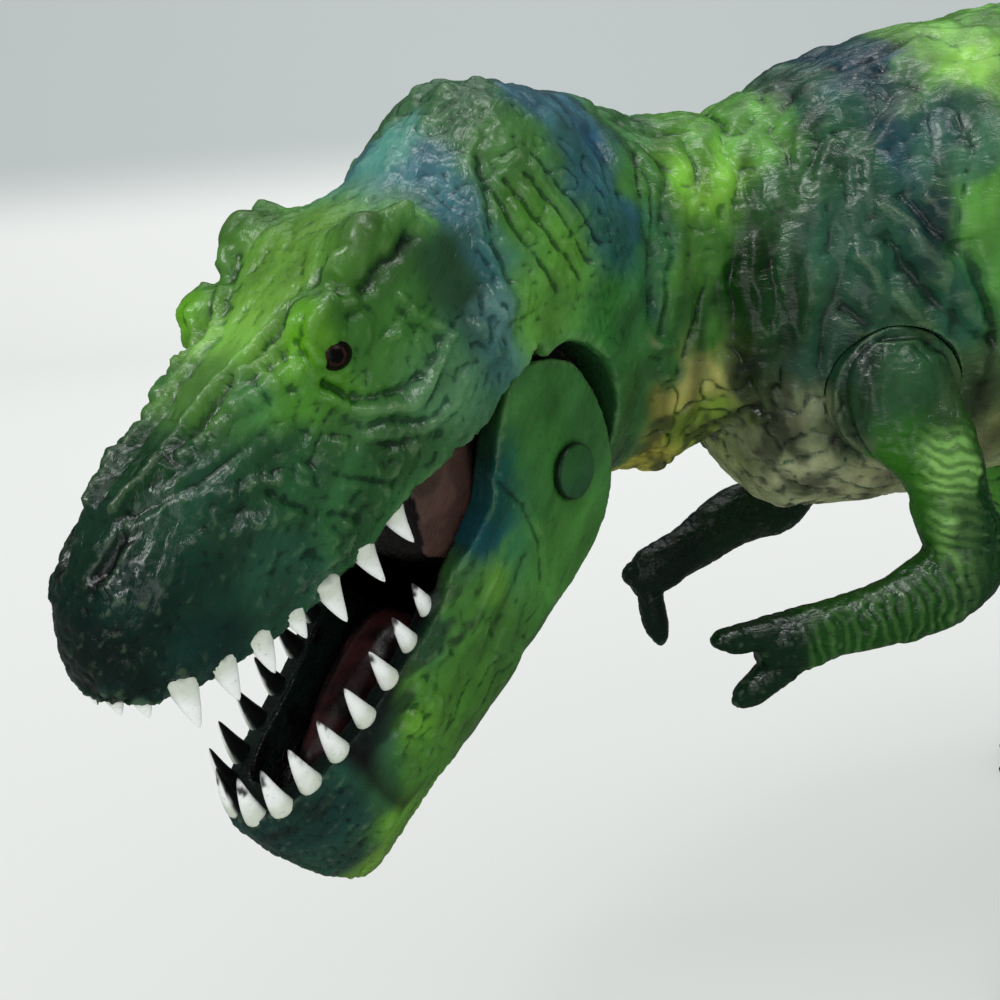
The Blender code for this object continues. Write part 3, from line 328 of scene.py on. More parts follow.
def stretched(points, way, factor):
    # Points squeezed along one direction, so that noise read there runs that way in long streaks
    way = np.asarray(way, float) / np.linalg.norm(way)
    return points + np.outer(points @ way * (1 / factor - 1), way)


def pebbles(points, size, salt=0):
    # Distance to the nearest and the second nearest of one random point in each cell, and its number
    place = points / size
    low = np.floor(place).astype(np.int64)
    near = np.full(len(points), 9.0)
    second = near.copy()
    number = np.zeros(len(points))
    for step in np.ndindex(3, 3, 3):
        cell = low + np.array(step) - 1
        seed = cell + np.stack([cellRandom(cell, salt + k) for k in range(3)], axis=-1)
        reach = np.linalg.norm(place - seed, axis=1)
        closer = reach < near
        second = np.where(closer, near, np.minimum(second, reach))
        number = np.where(closer, cellRandom(cell, salt + 7), number)
        near = np.where(closer, reach, near)
    return near, second, number


def strokes(points, table):
    # Ridges and grooves: height * exp(-(distance to the line / width)^2) for each line of places
    total = np.zeros(len(points))
    for height, width, line in table:
        line = np.asarray(line, float)
        nearest = np.full(len(points), 1e9)
        for start, end in zip(line[:-1], line[1:]):
            way = end - start
            t = np.clip((points - start) @ way / (way @ way), 0, 1)
            gap = np.linalg.norm(points - start - t[:, None] * way, axis=1)
            nearest = np.minimum(nearest, gap)
        total += height * np.exp(-(nearest / width)**2)
    return total


def bumps(points, table):
    # Round swellings: height * exp(-(distance / radius)^4), flat-topped
    total = np.zeros(len(points))
    for height, radius, place in table:
        gap = np.linalg.norm(points - np.asarray(place, float), axis=1)
        total += height * np.exp(-(gap / radius)**4)
    return total


def spot(points, place, radius):
    # 1 at the place, falling smoothly to 0 at about twice the radius; one radius for each axis
    return np.exp(-(((points - np.asarray(place, float)) / np.asarray(radius, float))**2).sum(axis=1))


def ramp(values, low, high):
    t = np.clip((values - low) / (high - low), 0, 1)
    return t * t * (3 - 2 * t)


def linear(colour):
    # A colour written 0 to 255, as light
    value = np.asarray(colour, float) / 255
    return np.where(value <= 0.04045, value / 12.92, ((value + 0.055) / 1.055)**2.4)


def airbrushed(points, patches, ragged=2.0, sharp=2.0):
    # Each patch of colour fades into its neighbours by distance over its own radius; noise frays the edges
    warped = bent(bent(points, 6.0, ragged, 40), 1.7, 0.3 * ragged, 46)
    total = np.zeros((len(points), 3))
    weights = np.zeros(len(points))
    for place, radius, colour in patches:
        gap = np.linalg.norm(warped - np.asarray(place, float), axis=1) / radius
        weight = 1 / (0.05 + gap**2)**sharp
        total += weight[:, None] * linear(colour)
        weights += weight
    return total / weights[:, None]


def tone(points, way, factor, amount=0.30):
    # Streaks of thicker and thinner paint
    return np.clip(1 + amount * layers(stretched(points, way, factor), 2.6, 3, 90), 0.3, 1.8)[:, None]


def mixed(colours, colour, share):
    return colours + (linear(colour) - colours) * np.asarray(share)[:, None]


def setPaint(item, colours, **values):
    data = np.ones((len(colours), 4), np.float32)
    data[:, :3] = np.clip(colours, 0, 1)
    paint = item.data.attributes.new("paint", "FLOAT_COLOR", "POINT")
    paint.data.foreach_set("color", data.ravel())
    for name, value in values.items():
        kind, entry = ("FLOAT_VECTOR", "vector") if value.ndim == 2 else ("FLOAT", "value")
        attribute = item.data.attributes.new(name, kind, "POINT")
        attribute.data.foreach_set(entry, value.astype(np.float32).ravel())


def pushOut(item, outward, height):
    # Heights in millimetres along the given normals
    setPoints(item, pointsOf(item) + outward * height[:, None] * mm)


def place(item, matrix=Matrix.Identity(4)):
    # Into the part's frame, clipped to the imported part's box
    item.data.transform(matrix)
    setPoints(item, np.clip(pointsOf(item), lowCorner, highCorner))


def finishPiece(item, body, material, nodes=()):
    item.data.materials.clear()
    item.data.materials.append(material)
    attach(item, body)
    if nodes:
        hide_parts(*nodes)


def headPlaces(item, matrix=Matrix.Identity(4)):
    # Millimetres from the pin as (forward, left, up), of an item placed by the matrix
    back = np.array(matrix.inverted())
    points = pointsOf(item) @ back[:3, :3].T + back[:3, 3]
    return np.column_stack([-points[:, 1], points[:, 0], points[:, 2]]) / mm


def mirroredLeft(places):
    return places * (1, 0, 1) + np.abs(places) * (0, 1, 0)


# Materials

class Value:
    # A socket that can be added, multiplied and so on, each adding its own node
    def __init__(self, graph, socket):
        self.graph = graph
        self.socket = socket

    def math(self, operation, *values):
        return self.graph.add("ShaderNodeMath", {"operation": operation}, dict(enumerate(values)))

    def __add__(self, other):
        return self.math("ADD", self, other)

    def __mul__(self, other):
        return self.math("MULTIPLY", self, other)

    def __sub__(self, other):
        return self.math("SUBTRACT", self, other)

    def __rsub__(self, other):
        return self.math("SUBTRACT", other, self)

    __radd__ = __add__
    __rmul__ = __mul__


class Graph:
    def __init__(self, name):
        self.material = bpy.data.materials.new(name)
        self.material.use_nodes = True
        self.tree = self.material.node_tree
        self.shader = self.tree.nodes["Principled BSDF"]

    def put(self, socket, value):
        if isinstance(value, Value):
            self.tree.links.new(value.socket, socket)
        else:
            socket.default_value = value

    def add(self, kind, settings=None, sockets=None, output=0):
        node = self.tree.nodes.new(kind)
        for name, value in (settings or {}).items():
            setattr(node, name, value)
        for name, value in (sockets or {}).items():
            self.put(node.inputs[name], value)
        return Value(self, node.outputs[output])

    def spots(self, scale, detail=3.0, roughness=0.5):
        return self.add("ShaderNodeTexNoise", {}, {
            "Vector": self.objectPlace, "Scale": scale, "Detail": detail, "Roughness": roughness})

    @property
    def objectPlace(self):
        return self.add("ShaderNodeTexCoord", output="Object")

    def attribute(self, name, output="Color"):
        return self.add("ShaderNodeAttribute", {"attribute_name": name}, output=output)

    def blend(self, share, first, second, kind="MIX"):
        node = self.tree.nodes.new("ShaderNodeMix")
        node.data_type = "RGBA"
        node.blend_type = kind
        self.put(node.inputs[0], share)
        self.put(node.inputs[6], first)
        self.put(node.inputs[7], second)
        return Value(self, node.outputs[2])

    def between(self, value, low, high, toLow=0.0, toHigh=1.0):
        return self.add("ShaderNodeMapRange", {"interpolation_type": "SMOOTHSTEP"}, {
            "Value": value, "From Min": low, "From Max": high, "To Min": toLow, "To Max": toHigh})

    def bump(self, height, distance):
        return self.add("ShaderNodeBump", {}, {"Height": height, "Distance": distance, "Strength": 1.0})

    def surface(self, **values):
        names = {"colour": "Base Color", "roughness": "Roughness", "normal": "Normal", "coat": "Coat Weight",
                 "coatRoughness": "Coat Roughness", "specular": "Specular IOR Level",
                 "emission": "Emission Color", "emissionStrength": "Emission Strength"}
        for name, value in values.items():
            self.put(self.shader.inputs[names[name]], value)
        return self.material


skinLook = {
    "mottle": 260, "fleck": 1500, "grain": 5200, "flow": 1.0, "roughness": (0.20, 0.38), "bump": 0.00013,
}


def paintedSkin(name):
    # Airbrushed paint on moulded plastic: wrinkles that follow the piece's own flow, flecks, a dry-brush on the
    # high places that also serves as painted highlight, and a dark wash in the low ones that also serves as
    # painted shade
    graph = Graph(name)
    paint = graph.attribute("paint")
    stand = graph.attribute("relief", "Fac")
    wrinkle = graph.add("ShaderNodeTexNoise", {}, {
        "Vector": graph.attribute("flow", "Vector"), "Scale": skinLook["flow"], "Detail": 3.0,
        "Roughness": 0.55})
    mottle = graph.spots(skinLook["mottle"], 4.0)
    fleck = graph.spots(skinLook["fleck"], 3.0, 0.6)
    grain = graph.spots(skinLook["grain"], 2.0)
    low = stand * -1.0 + (0.5 - wrinkle) * 1.8
    # painted shade: the low places and wrinkle grooves are darkened towards blue-green
    shadeWashed = graph.blend(graph.between(low, 0.10, 1.00, 0.0, 0.85), paint,
                         graph.blend(1.0, paint, (0.18, 0.32, 0.34, 1), "MULTIPLY"))
    high = stand + (wrinkle - 0.5) * 2.4 + (fleck - 0.5) * 0.5
    # painted highlight: the high places and wrinkle crests are lightened towards pale green
    highlightBrushed = graph.blend(graph.between(high, 0.32, 1.10, 0.0, 0.45), shadeWashed,
                          graph.blend(0.15, paint, (0.52, 0.74, 0.34, 1)))
    mottled = graph.blend(graph.between(mottle, 0.35, 0.70, 0.0, 0.45), highlightBrushed,
                          graph.blend(1.0, highlightBrushed, (0.52, 0.66, 0.56, 1), "MULTIPLY"))
    height = wrinkle * 1.6 + fleck * 0.22 + grain * 0.06
    lowest, highest = skinLook["roughness"]
    return graph.surface(colour=mottled, roughness=graph.between(fleck, 0.3, 0.7, lowest, highest),
                         normal=graph.bump(height, skinLook["bump"]), coat=0.0, specular=0.42)


def enamel(name, roughness, specks=0.5, shine=0.5):
    graph = Graph(name)
    paint = graph.attribute("paint")
    speck = graph.spots(1900, 4.0, 0.65)
    broad = graph.spots(520, 2.0)
    colour = graph.blend(graph.between(speck, 0.56, 0.74, 0.0, specks), paint,
                         graph.blend(1.0, paint, (0.42, 0.38, 0.30, 1), "MULTIPLY"))
    colour = graph.blend(graph.between(broad, 0.4, 0.7, 0.0, 0.25), colour,
                         graph.blend(1.0, colour, (0.88, 0.88, 0.80, 1), "MULTIPLY"))
    rough = graph.between(speck, 0.3, 0.7, roughness - 0.06, roughness + 0.12)
    return graph.surface(colour=colour, roughness=rough, normal=graph.bump(speck + broad, 0.00005),
                         coat=0.4 * shine, coatRoughness=0.2, specular=shine)


headSkin = paintedSkin("painted_head")
neckSkin = paintedSkin("painted_body")
limbSkin = paintedSkin("painted_limbs")
toothPaint = enamel("tooth_paint", 0.34)
mouthPaint = enamel("mouth_paint", 0.30, 0.3, 0.3)
eyePaint = enamel("eye_paint", 0.24, 0.1, 0.1)
print("materials made")


# Head

head = {
    "voxel": 0.00037, "coreHalf": 0.0085, "coreRadius": 0.0213, "heelRadius": 0.0096, "earRadius": 0.0158,
    "floor": 0.0094, "gap": 0.0004, "travel": 29, "pinRadius": 0.0015, "wide": 0.0228,
}
skullRows = (
    (1.000, 0.10, 0.200, 0.060, 0.620, 2.0, 2.0), (0.988, 0.24, 0.265, 0.010, 0.620, 2.2, 2.4),
    (0.955, 0.37, 0.345, -0.025, 0.594, 2.3, 2.8), (0.895, 0.495, 0.425, -0.030, 0.553, 2.3, 3.0),
    (0.820, 0.590, 0.485, -0.030, 0.519, 2.3, 3.2), (0.740, 0.655, 0.540, -0.020, 0.475, 2.3, 3.2),
    (0.650, 0.705, 0.590, 0.000, 0.444, 2.3, 3.2), (0.570, 0.740, 0.632, 0.030, 0.400, 2.4, 3.0),
    (0.500, 0.785, 0.672, 0.060, 0.38, 2.6, 3.0), (0.430, 0.830, 0.728, 0.020, 0.42, 2.9, 3.0),
    (0.345, 0.875, 0.800, -0.060, 0.46, 3.0, 3.0), (0.240, 0.930, 0.835, -0.140, 0.48, 2.6, 3.0),
    (0.140, 0.970, 0.876, -0.185, 0.50, 2.3, 3.0), (0.035, 0.990, 0.940, -0.205, 0.50, 2.1, 2.8),
    (-0.070, 1.000, 0.992, -0.212, 0.50, 2.1, 2.6), (-0.150, 0.986, 0.995, -0.221, 0.50, 2.1, 2.4),
    (-0.240, 0.970, 0.968, -0.232, 0.50, 2.0, 2.2),
)
skullSwellings = (
    (0.320, 57, 0.075, 17, 0.080), (0.465, 52, 0.045, 17, 0.070), (0.230, 52, 0.050, 13, 0.035),
    (0.455, 28, 0.050, 12, -0.030), (0.620, 60, 0.120, 10, 0.022), (0.620, 30, 0.110, 12, -0.022),
    (0.880, 12, 0.080, 22, 0.022), (0.300, -8, 0.100, 20, 0.018), (0.120, 62, 0.060, 16, -0.026),
    (-0.080, 66, 0.080, 20, 0.018),
)
lipRows = (
    (0.975, 0.088), (0.935, 0.064), (0.860, 0.062), (0.770, 0.066), (0.655, 0.084), (0.560, 0.124),
    (0.470, 0.188), (0.400, 0.235), (0.315, 0.268), (0.220, 0.300), (0.130, 0.358), (0.043, 0.405),
)
palateRows = (
    (0.372, 0.50, 0.285), (0.395, 0.58, 0.300), (0.450, 0.595, 0.300), (0.560, 0.590, 0.285),
    (0.680, 0.565, 0.270), (0.790, 0.510, 0.255), (0.870, 0.420, 0.235), (0.915, 0.300, 0.200),
)
earRows = (
    (27, 0.950), (36, 0.860), (45, 0.840), (55, 0.840), (70, 0.875), (87, 0.940), (98, 0.970), (108, 0.915),
    (120, 0.850), (133, 0.795), (145, 0.700), (166, 0.585), (185, 0.530), (205, 0.512), (225, 0.525),
    (250, 0.575), (270, 0.645), (288, 0.745),
)


def earRadius(degrees):
    angles, shares = np.array(earRows).T
    return np.interp(degrees, angles, shares) * head["earRadius"]


def aboutPin(radius, degrees):
    turn = np.radians(np.asarray(degrees, float))
    return np.column_stack([radius * np.cos(turn), radius * np.sin(turn)])


def skullRings(rows, count):
    # Rounded-box sections from the snout back to the neck seam
    forward, width, top, bottom, middle, upper, lower = rows.T
    size = figure["headTop"]
    widest = (bottom + (top - bottom) * middle) * size
    centres = np.column_stack([0 * forward, -forward * figure["headLength"], widest])
    rings = sections(centres, axisX, axisZ, width * figure["headWidth"], top * size - widest,
                     widest - bottom * size, upper, lower, count)
    return swell(rings, forward, skullSwellings, size)


def headTools():
    wide, half = head["wide"], head["coreHalf"]
    lip = evenly(lipRows, 3) * (figure["headLength"], figure["headTop"])
    front, deep = figure["headLength"] + 0.004, figure["headTop"]
    core = aboutPin(head["coreRadius"], np.arange(14, -25, -3))
    ahead = lip[lip[:, 0] > head["coreRadius"]]
    mouth = np.vstack([[(front, -deep), (front, lip[0, 1])], ahead, core, [(head["coreRadius"], -deep)]])
    cheek = np.vstack([lip, [(lip[-1, 0], -deep), (figure["headLength"], -deep)]])
    heel, level = head["heelRadius"], head["floor"] - 0.0006
    arc = aboutPin(heel, np.arange(196, 286, 5.5))
    reach = math.sqrt(heel**2 - level**2)
    under = np.vstack([arc, [(reach, -level), (front, -level), (front, -deep), (arc[0, 0], -deep)]])
    degrees = np.arange(0, 360, 4)
    swept = np.array([earRadius(degrees + head["travel"] * step / 12) for step in range(13)])
    pocket = aboutPin(swept.max(axis=0) + head["gap"], degrees)
    forward, width, roof = evenly(palateRows, 3).T
    centres = np.column_stack([0 * forward, -forward * figure["headLength"], 0 * forward])
    palate = sections(centres, axisX, axisZ, width * figure["headWidth"], roof * deep, deep, 4.0, 4.0, 64)
    tools = [prism(mouth, -wide, wide), prism(under, -wide, wide), skin(palate),
             lathe([(-wide, head["pinRadius"]), (wide, head["pinRadius"])])]
    for side in (1, -1):
        tools += [prism(pocket, side * half, side * wide), prism(cheek, side * half, side * wide),
                  nostrilTool(side)]
    return tools


nostril = {"place": (0.220, 0.912, 0.390), "length": 0.0029, "width": 0.0010}


def nostrilTool(side):
    # A slanting slit with pointed ends, sunk in the upper side of the snout's front
    across, forward, up = nostril["place"]
    middle = np.array([side * across * figure["headWidth"], -forward * figure["headLength"],
                       up * figure["headTop"]])
    direction = np.array([side * 0.21, 0.74, 0.64])
    outward = np.array([side * 0.95, -0.31, 0.0])
    outward /= np.linalg.norm(outward)
    along = np.linspace(-1, 1, 17)
    size = nostril["width"] * np.sqrt(np.clip(1.02 - along**2, 0, 1))
    return skin(limbRings(middle + along[:, None] * direction * nostril["length"], outward, size, size, 20))


# Ridges and grooves of the skull: height, width, places from the pin. The other side mirrors them.
skullStrokes = (
    (1.00, 0.70, ((21.7, 8.7, 33.2), (26.5, 6.4, 30.6), (29.9, 3.9, 28.4), (35.5, 2.8, 26.0),
                  (40.7, 2.9, 23.8), (45.6, 2.6, 21.5), (49.4, 1.8, 19.6))),
    (0.75, 0.55, ((25.2, 9.3, 30.8), (28.8, 7.5, 28.6), (30.5, 5.9, 27.5), (34.4, 4.6, 26.2))),
    (-0.85, 0.50, ((24.5, 7.6, 31.9), (29.2, 5.2, 28.6), (34.5, 3.9, 26.1), (40.5, 4.1, 23.4))),
    (0.90, 0.60, ((23.4, 10.2, 30.1), (25.7, 9.6, 30.2), (27.6, 9.3, 29.2), (28.8, 8.8, 27.7),
                  (28.9, 9.7, 26.1))),
    (-1.10, 0.75, ((14.6, 11.2, 33.6), (16.6, 11.2, 33.0), (18.7, 11.2, 32.4), (21.7, 10.5, 30.6))),
    (0.80, 0.70, ((13.6, 10.0, 35.0), (16.6, 9.8, 34.8), (19.4, 9.8, 34.0), (22.6, 9.2, 32.2))),
    (0.50, 0.60, ((15.4, 13.1, 24.0), (18.0, 12.6, 26.4), (18.9, 12.0, 28.6))),
    (-0.55, 0.50, ((30.0, 10.3, 19.0), (24.5, 12.4, 15.4), (19.0, 13.5, 14.6))),
    (-0.50, 0.50, ((34.0, 9.8, 18.0), (30.0, 11.0, 14.6), (26.0, 12.2, 11.6))),
    (-0.45, 0.50, ((38.6, 9.3, 17.0), (35.0, 10.4, 13.0), (31.0, 11.3, 10.4))),
    (0.45, 0.70, ((45.5, 6.0, 19.0), (41.0, 8.2, 18.0), (36.5, 9.2, 17.0))),
    (0.40, 0.70, ((47.5, 7.2, 15.6), (42.0, 9.0, 15.2), (36.5, 10.2, 14.0))),
    (-0.45, 0.50, ((49.0, 3.6, 19.2), (44.0, 6.4, 20.0), (38.0, 7.8, 21.4), (33.4, 8.6, 22.6))),
    (-0.75, 0.50, ((29.0, 9.8, 23.9), (27.6, 10.4, 21.8), (25.1, 11.6, 20.6), (22.6, 12.6, 20.2),
                   (20.0, 13.1, 20.9))),
    (0.90, 0.60, ((29.1, 10.0, 22.2), (27.4, 10.7, 20.2), (25.1, 12.0, 19.3), (21.9, 12.8, 18.6),
                  (19.6, 13.2, 19.8), (17.2, 13.3, 21.7), (14.5, 13.3, 23.0))),
    (-0.45, 0.55, ((27.4, 11.2, 18.7), (23.4, 12.5, 17.5), (20.1, 13.3, 16.6), (17.9, 13.6, 17.2))),
    (0.40, 0.90, ((53.5, 7.3, 5.8), (49.5, 9.0, 6.0), (44.8, 10.3, 6.4), (39.9, 10.7, 7.1),
                  (34.1, 10.9, 8.2), (29.0, 11.6, 10.2), (26.5, 12.1, 12.2), (21.4, 13.2, 14.8),
                  (15.2, 13.9, 17.8), (9.8, 14.1, 19.4))),
    (-0.40, 0.60, ((44.8, 10.3, 8.8), (39.9, 10.8, 9.4), (34.1, 11.2, 10.6), (29.5, 11.8, 12.8))),
    (0.55, 0.55, ((49.0, 5.6, 19.4), (51.6, 4.6, 18.8), (54.6, 3.2, 16.6), (56.4, 2.8, 14.4))),
    (0.45, 0.55, ((50.4, 7.0, 17.0), (53.4, 6.2, 15.0), (55.8, 4.4, 13.0))),
    (0.50, 0.70, ((1.2, 8.4, 36.8), (3.6, 10.2, 33.3), (5.9, 11.7, 29.8), (6.2, 13.3, 25.7))),
    (-0.55, 0.55, ((0.2, 8.9, 36.6), (2.4, 11.0, 32.8), (4.4, 12.6, 29.0), (4.6, 13.9, 25.2))),
    (-0.55, 0.45, ((1.2, 10.4, 34.1), (0.6, 13.1, 28.0), (-1.8, 14.5, 21.5))),
    (-0.55, 0.45, ((-0.9, 10.9, 33.9), (-2.6, 13.4, 28.0), (-5.6, 14.5, 21.8))),
    (-0.55, 0.45, ((-3.6, 11.5, 33.6), (-5.6, 13.3, 28.6), (-8.2, 14.3, 22.3))),
    (-0.40, 0.40, ((-5.6, 10.8, 35.0), (-8.4, 13.0, 29.4), (-10.8, 14.1, 23.4))),
    (0.40, 0.50, ((7.6, 13.3, 26.4), (8.6, 13.5, 24.2), (7.4, 13.8, 21.8), (4.8, 14.1, 21.6))),
)
skullBumps = (
    (0.70, 1.05, (33.1, 7.1, 25.3)), (0.60, 0.85, (35.2, 6.7, 24.9)), (0.65, 0.95, (36.8, 6.0, 24.6)),
    (0.55, 0.90, (38.9, 5.6, 23.8)), (0.55, 0.85, (40.9, 5.0, 23.1)), (0.55, 0.80, (42.7, 4.7, 22.4)),
    (0.50, 0.80, (44.6, 3.8, 21.7)), (0.90, 1.30, (31.2, 8.4, 25.9)), (0.55, 0.80, (34.0, 5.0, 26.4)),
    (0.55, 1.20, (32.1, 11.0, 11.1)), (0.55, 1.25, (35.0, 10.8, 10.0)), (0.45, 1.20, (38.6, 10.3, 8.8)),
    (1.00, 2.00, (7.0, 13.7, 23.6)), (0.70, 1.40, (3.4, 14.0, 22.6)), (0.60, 1.30, (11.0, 13.4, 22.0)),
    (0.60, 1.80, (23.6, 11.0, 27.2)), (-0.60, 1.70, (27.4, 10.4, 26.0)), (0.90, 2.90, (20.2, 8.6, 35.8)),
    (0.80, 2.10, (28.0, 8.0, 30.2)), (0.70, 1.00, (31.6, 6.4, 28.2)), (0.60, 0.85, (33.2, 6.0, 27.0)),
    (-0.70, 1.30, (24.6, 6.6, 32.4)), (0.50, 1.60, (14.6, 9.6, 35.4)), (0.60, 1.50, (1.0, 3.0, 41.4)),
    (0.60, 1.40, (-4.2, 1.6, 43.0)), (0.55, 1.30, (-8.6, 3.0, 43.0)), (0.50, 1.40, (6.8, 2.0, 39.0)),
)

headPatches = (
    ((53.5, 5.9, 13.6), 5.0, (0, 38, 29)), ((56.8, 2.7, 9.8), 5.0, (0, 26, 21)),
    ((50.0, 8.9, 8.0), 4.0, (4, 44, 36)), ((48.7, 8.9, 12.4), 4.0, (10, 54, 40)),
    ((51.0, 0.0, 19.4), 4.0, (8, 50, 32)), ((45.0, 2.5, 21.8), 4.0, (18, 62, 30)),
    ((42.8, 7.9, 18.3), 4.0, (24, 66, 44)), ((40.0, 10.2, 10.8), 4.0, (30, 78, 56)),
    ((36.0, 9.2, 17.2), 4.0, (32, 78, 42)), ((33.0, 10.8, 10.8), 3.0, (38, 88, 46)),
    ((36.0, 3.0, 26.0), 3.0, (72, 116, 46)), ((30.5, 4.0, 28.4), 3.0, (108, 162, 60)),
    ((26.0, 1.0, 30.8), 4.0, (112, 166, 58)), ((20.5, 2.0, 34.2), 4.0, (98, 148, 52)),
    ((19.0, 7.9, 35.8), 3.0, (60, 108, 36)), ((24.4, 8.4, 32.0), 2.4, (70, 124, 40)),
    ((34.6, 6.6, 24.9), 2.4, (62, 118, 60)), ((29.0, 9.2, 27.6), 2.4, (92, 158, 22)),
    ((28.4, 10.2, 24.8), 2.4, (70, 132, 26)), ((31.6, 9.0, 23.0), 2.4, (72, 134, 36)),
    ((23.4, 11.0, 27.2), 3.0, (52, 104, 34)), ((18.0, 12.4, 27.6), 3.0, (52, 106, 38)),
    ((24.6, 12.3, 19.0), 2.4, (66, 112, 60)), ((24.0, 12.7, 15.6), 3.0, (36, 78, 36)),
    ((28.6, 11.7, 13.8), 3.0, (42, 94, 46)), ((17.0, 13.5, 19.6), 2.6, (78, 128, 84)),
    ((11.4, 12.2, 29.2), 3.2, (40, 84, 48)), ((11.0, 12.6, 25.2), 2.6, (36, 80, 50)),
    ((18.4, 11.3, 31.4), 2.2, (56, 104, 40)), ((12.6, 8.8, 34.8), 3.0, (88, 148, 64)),
    ((7.0, 8.8, 33.6), 3.4, (48, 96, 104)), ((4.8, 4.6, 37.6), 3.4, (56, 104, 116)),
    ((4.0, 0.0, 40.0), 3.4, (80, 142, 128)), ((7.4, 12.6, 27.6), 2.6, (46, 100, 108)),
    ((8.4, 13.7, 23.0), 2.6, (84, 128, 124)), ((10.6, 13.8, 19.6), 2.4, (52, 98, 92)),
    ((-1.0, 4.0, 42.0), 3.6, (60, 100, 62)), ((-2.3, 9.6, 36.8), 3.2, (72, 120, 60)),
    ((-1.1, 12.0, 31.7), 3.2, (70, 126, 38)), ((-4.6, 14.0, 25.4), 3.4, (82, 140, 46)),
    ((1.5, 14.3, 21.9), 2.6, (84, 140, 52)), ((-6.0, 10.0, 36.0), 3.0, (64, 116, 50)),
    ((-7.6, 3.6, 42.4), 3.2, (60, 110, 72)), ((-12.4, 5.9, 40.6), 3.4, (56, 102, 118)),
    ((-12.8, 12.1, 31.0), 3.4, (44, 94, 102)), ((-13.2, 14.0, 23.6), 3.4, (34, 84, 76)),
    ((-8.6, 14.6, 16.4), 3.0, (54, 118, 50)), ((-12.6, 14.4, 12.0), 3.4, (50, 104, 50)),
    ((-11.0, 12.0, 0.0), 5.0, (48, 92, 44)),
)


skullFlow = (0.80, 0.10, -0.58)


def texturedHead(here):
    # Heights in millimetres: strokes and bumps, streaks along the snout, pebbles at its front and lip,
    # a crackled net on the temple and nape, and a smooth plate behind the eye
    forward, up = here[:, 0], here[:, 2]
    snout = ramp(forward, 24, 36)
    front = ramp(forward, 38, 50)
    nape = ramp(8 - forward, 0, 8) * ramp(up, 16, 26)
    temple = np.maximum(spot(here, (5.5, 9.0, 34.0), 7.0), spot(here, (8.0, 13.4, 24.0), 6.0))
    plate = plateShare(here)
    near, second, number = pebbles(bent(here, 3.0, 0.8), 1.2, 3)
    cobble = ramp(second - near, 0.02, 0.42) * (0.6 + 0.5 * number) - 0.55
    wandering = bent(here, 4.0, 0.9)
    streaks = creased(stretched(wandering, skullFlow, 3.5), 2.0, 11)
    net = creased(wandering, 2.8, 21)
    fine = creased(here, 1.35, 31)
    rough = 0.45 + 0.55 * ramp(layers(here, 8.0, 2, 51), -0.5, 0.4)
    texture = snout * rough * (0.08 * cobble + 0.26 * fine + 0.36 * streaks * (1 - 0.5 * front))
    texture += (1 - snout) * (0.42 * streaks * ramp(forward, 8, 14) + 0.24 * fine * rough)
    texture += 0.50 * net * np.maximum(temple, 0.9 * nape) + 0.35 * layers(here, 5.0, 2, 5)
    lines = strokes(bent(here, 3.0, 0.35), skullStrokes)
    return 1.2 * lines + bumps(here, skullBumps) + texture * (1 - 0.85 * plate)


def plateShare(here):
    # The smooth dark plate behind the brow
    forward, left, up = here.T
    edge = ((forward - 11.8) / 5.0)**4 + ((up - 28.8) / 4.2)**4
    return np.exp(-edge) * ramp(left, 8, 10)


def guard(here):
    # 0 on the faces that the jaw turns against, 1 on the open skin
    forward, left, up = here.T
    radius = np.hypot(forward, up)
    return np.maximum(ramp(radius, 15.2, 17.4), ramp(left, 12.6, 13.4) * ramp(radius, 13.6, 15.6))


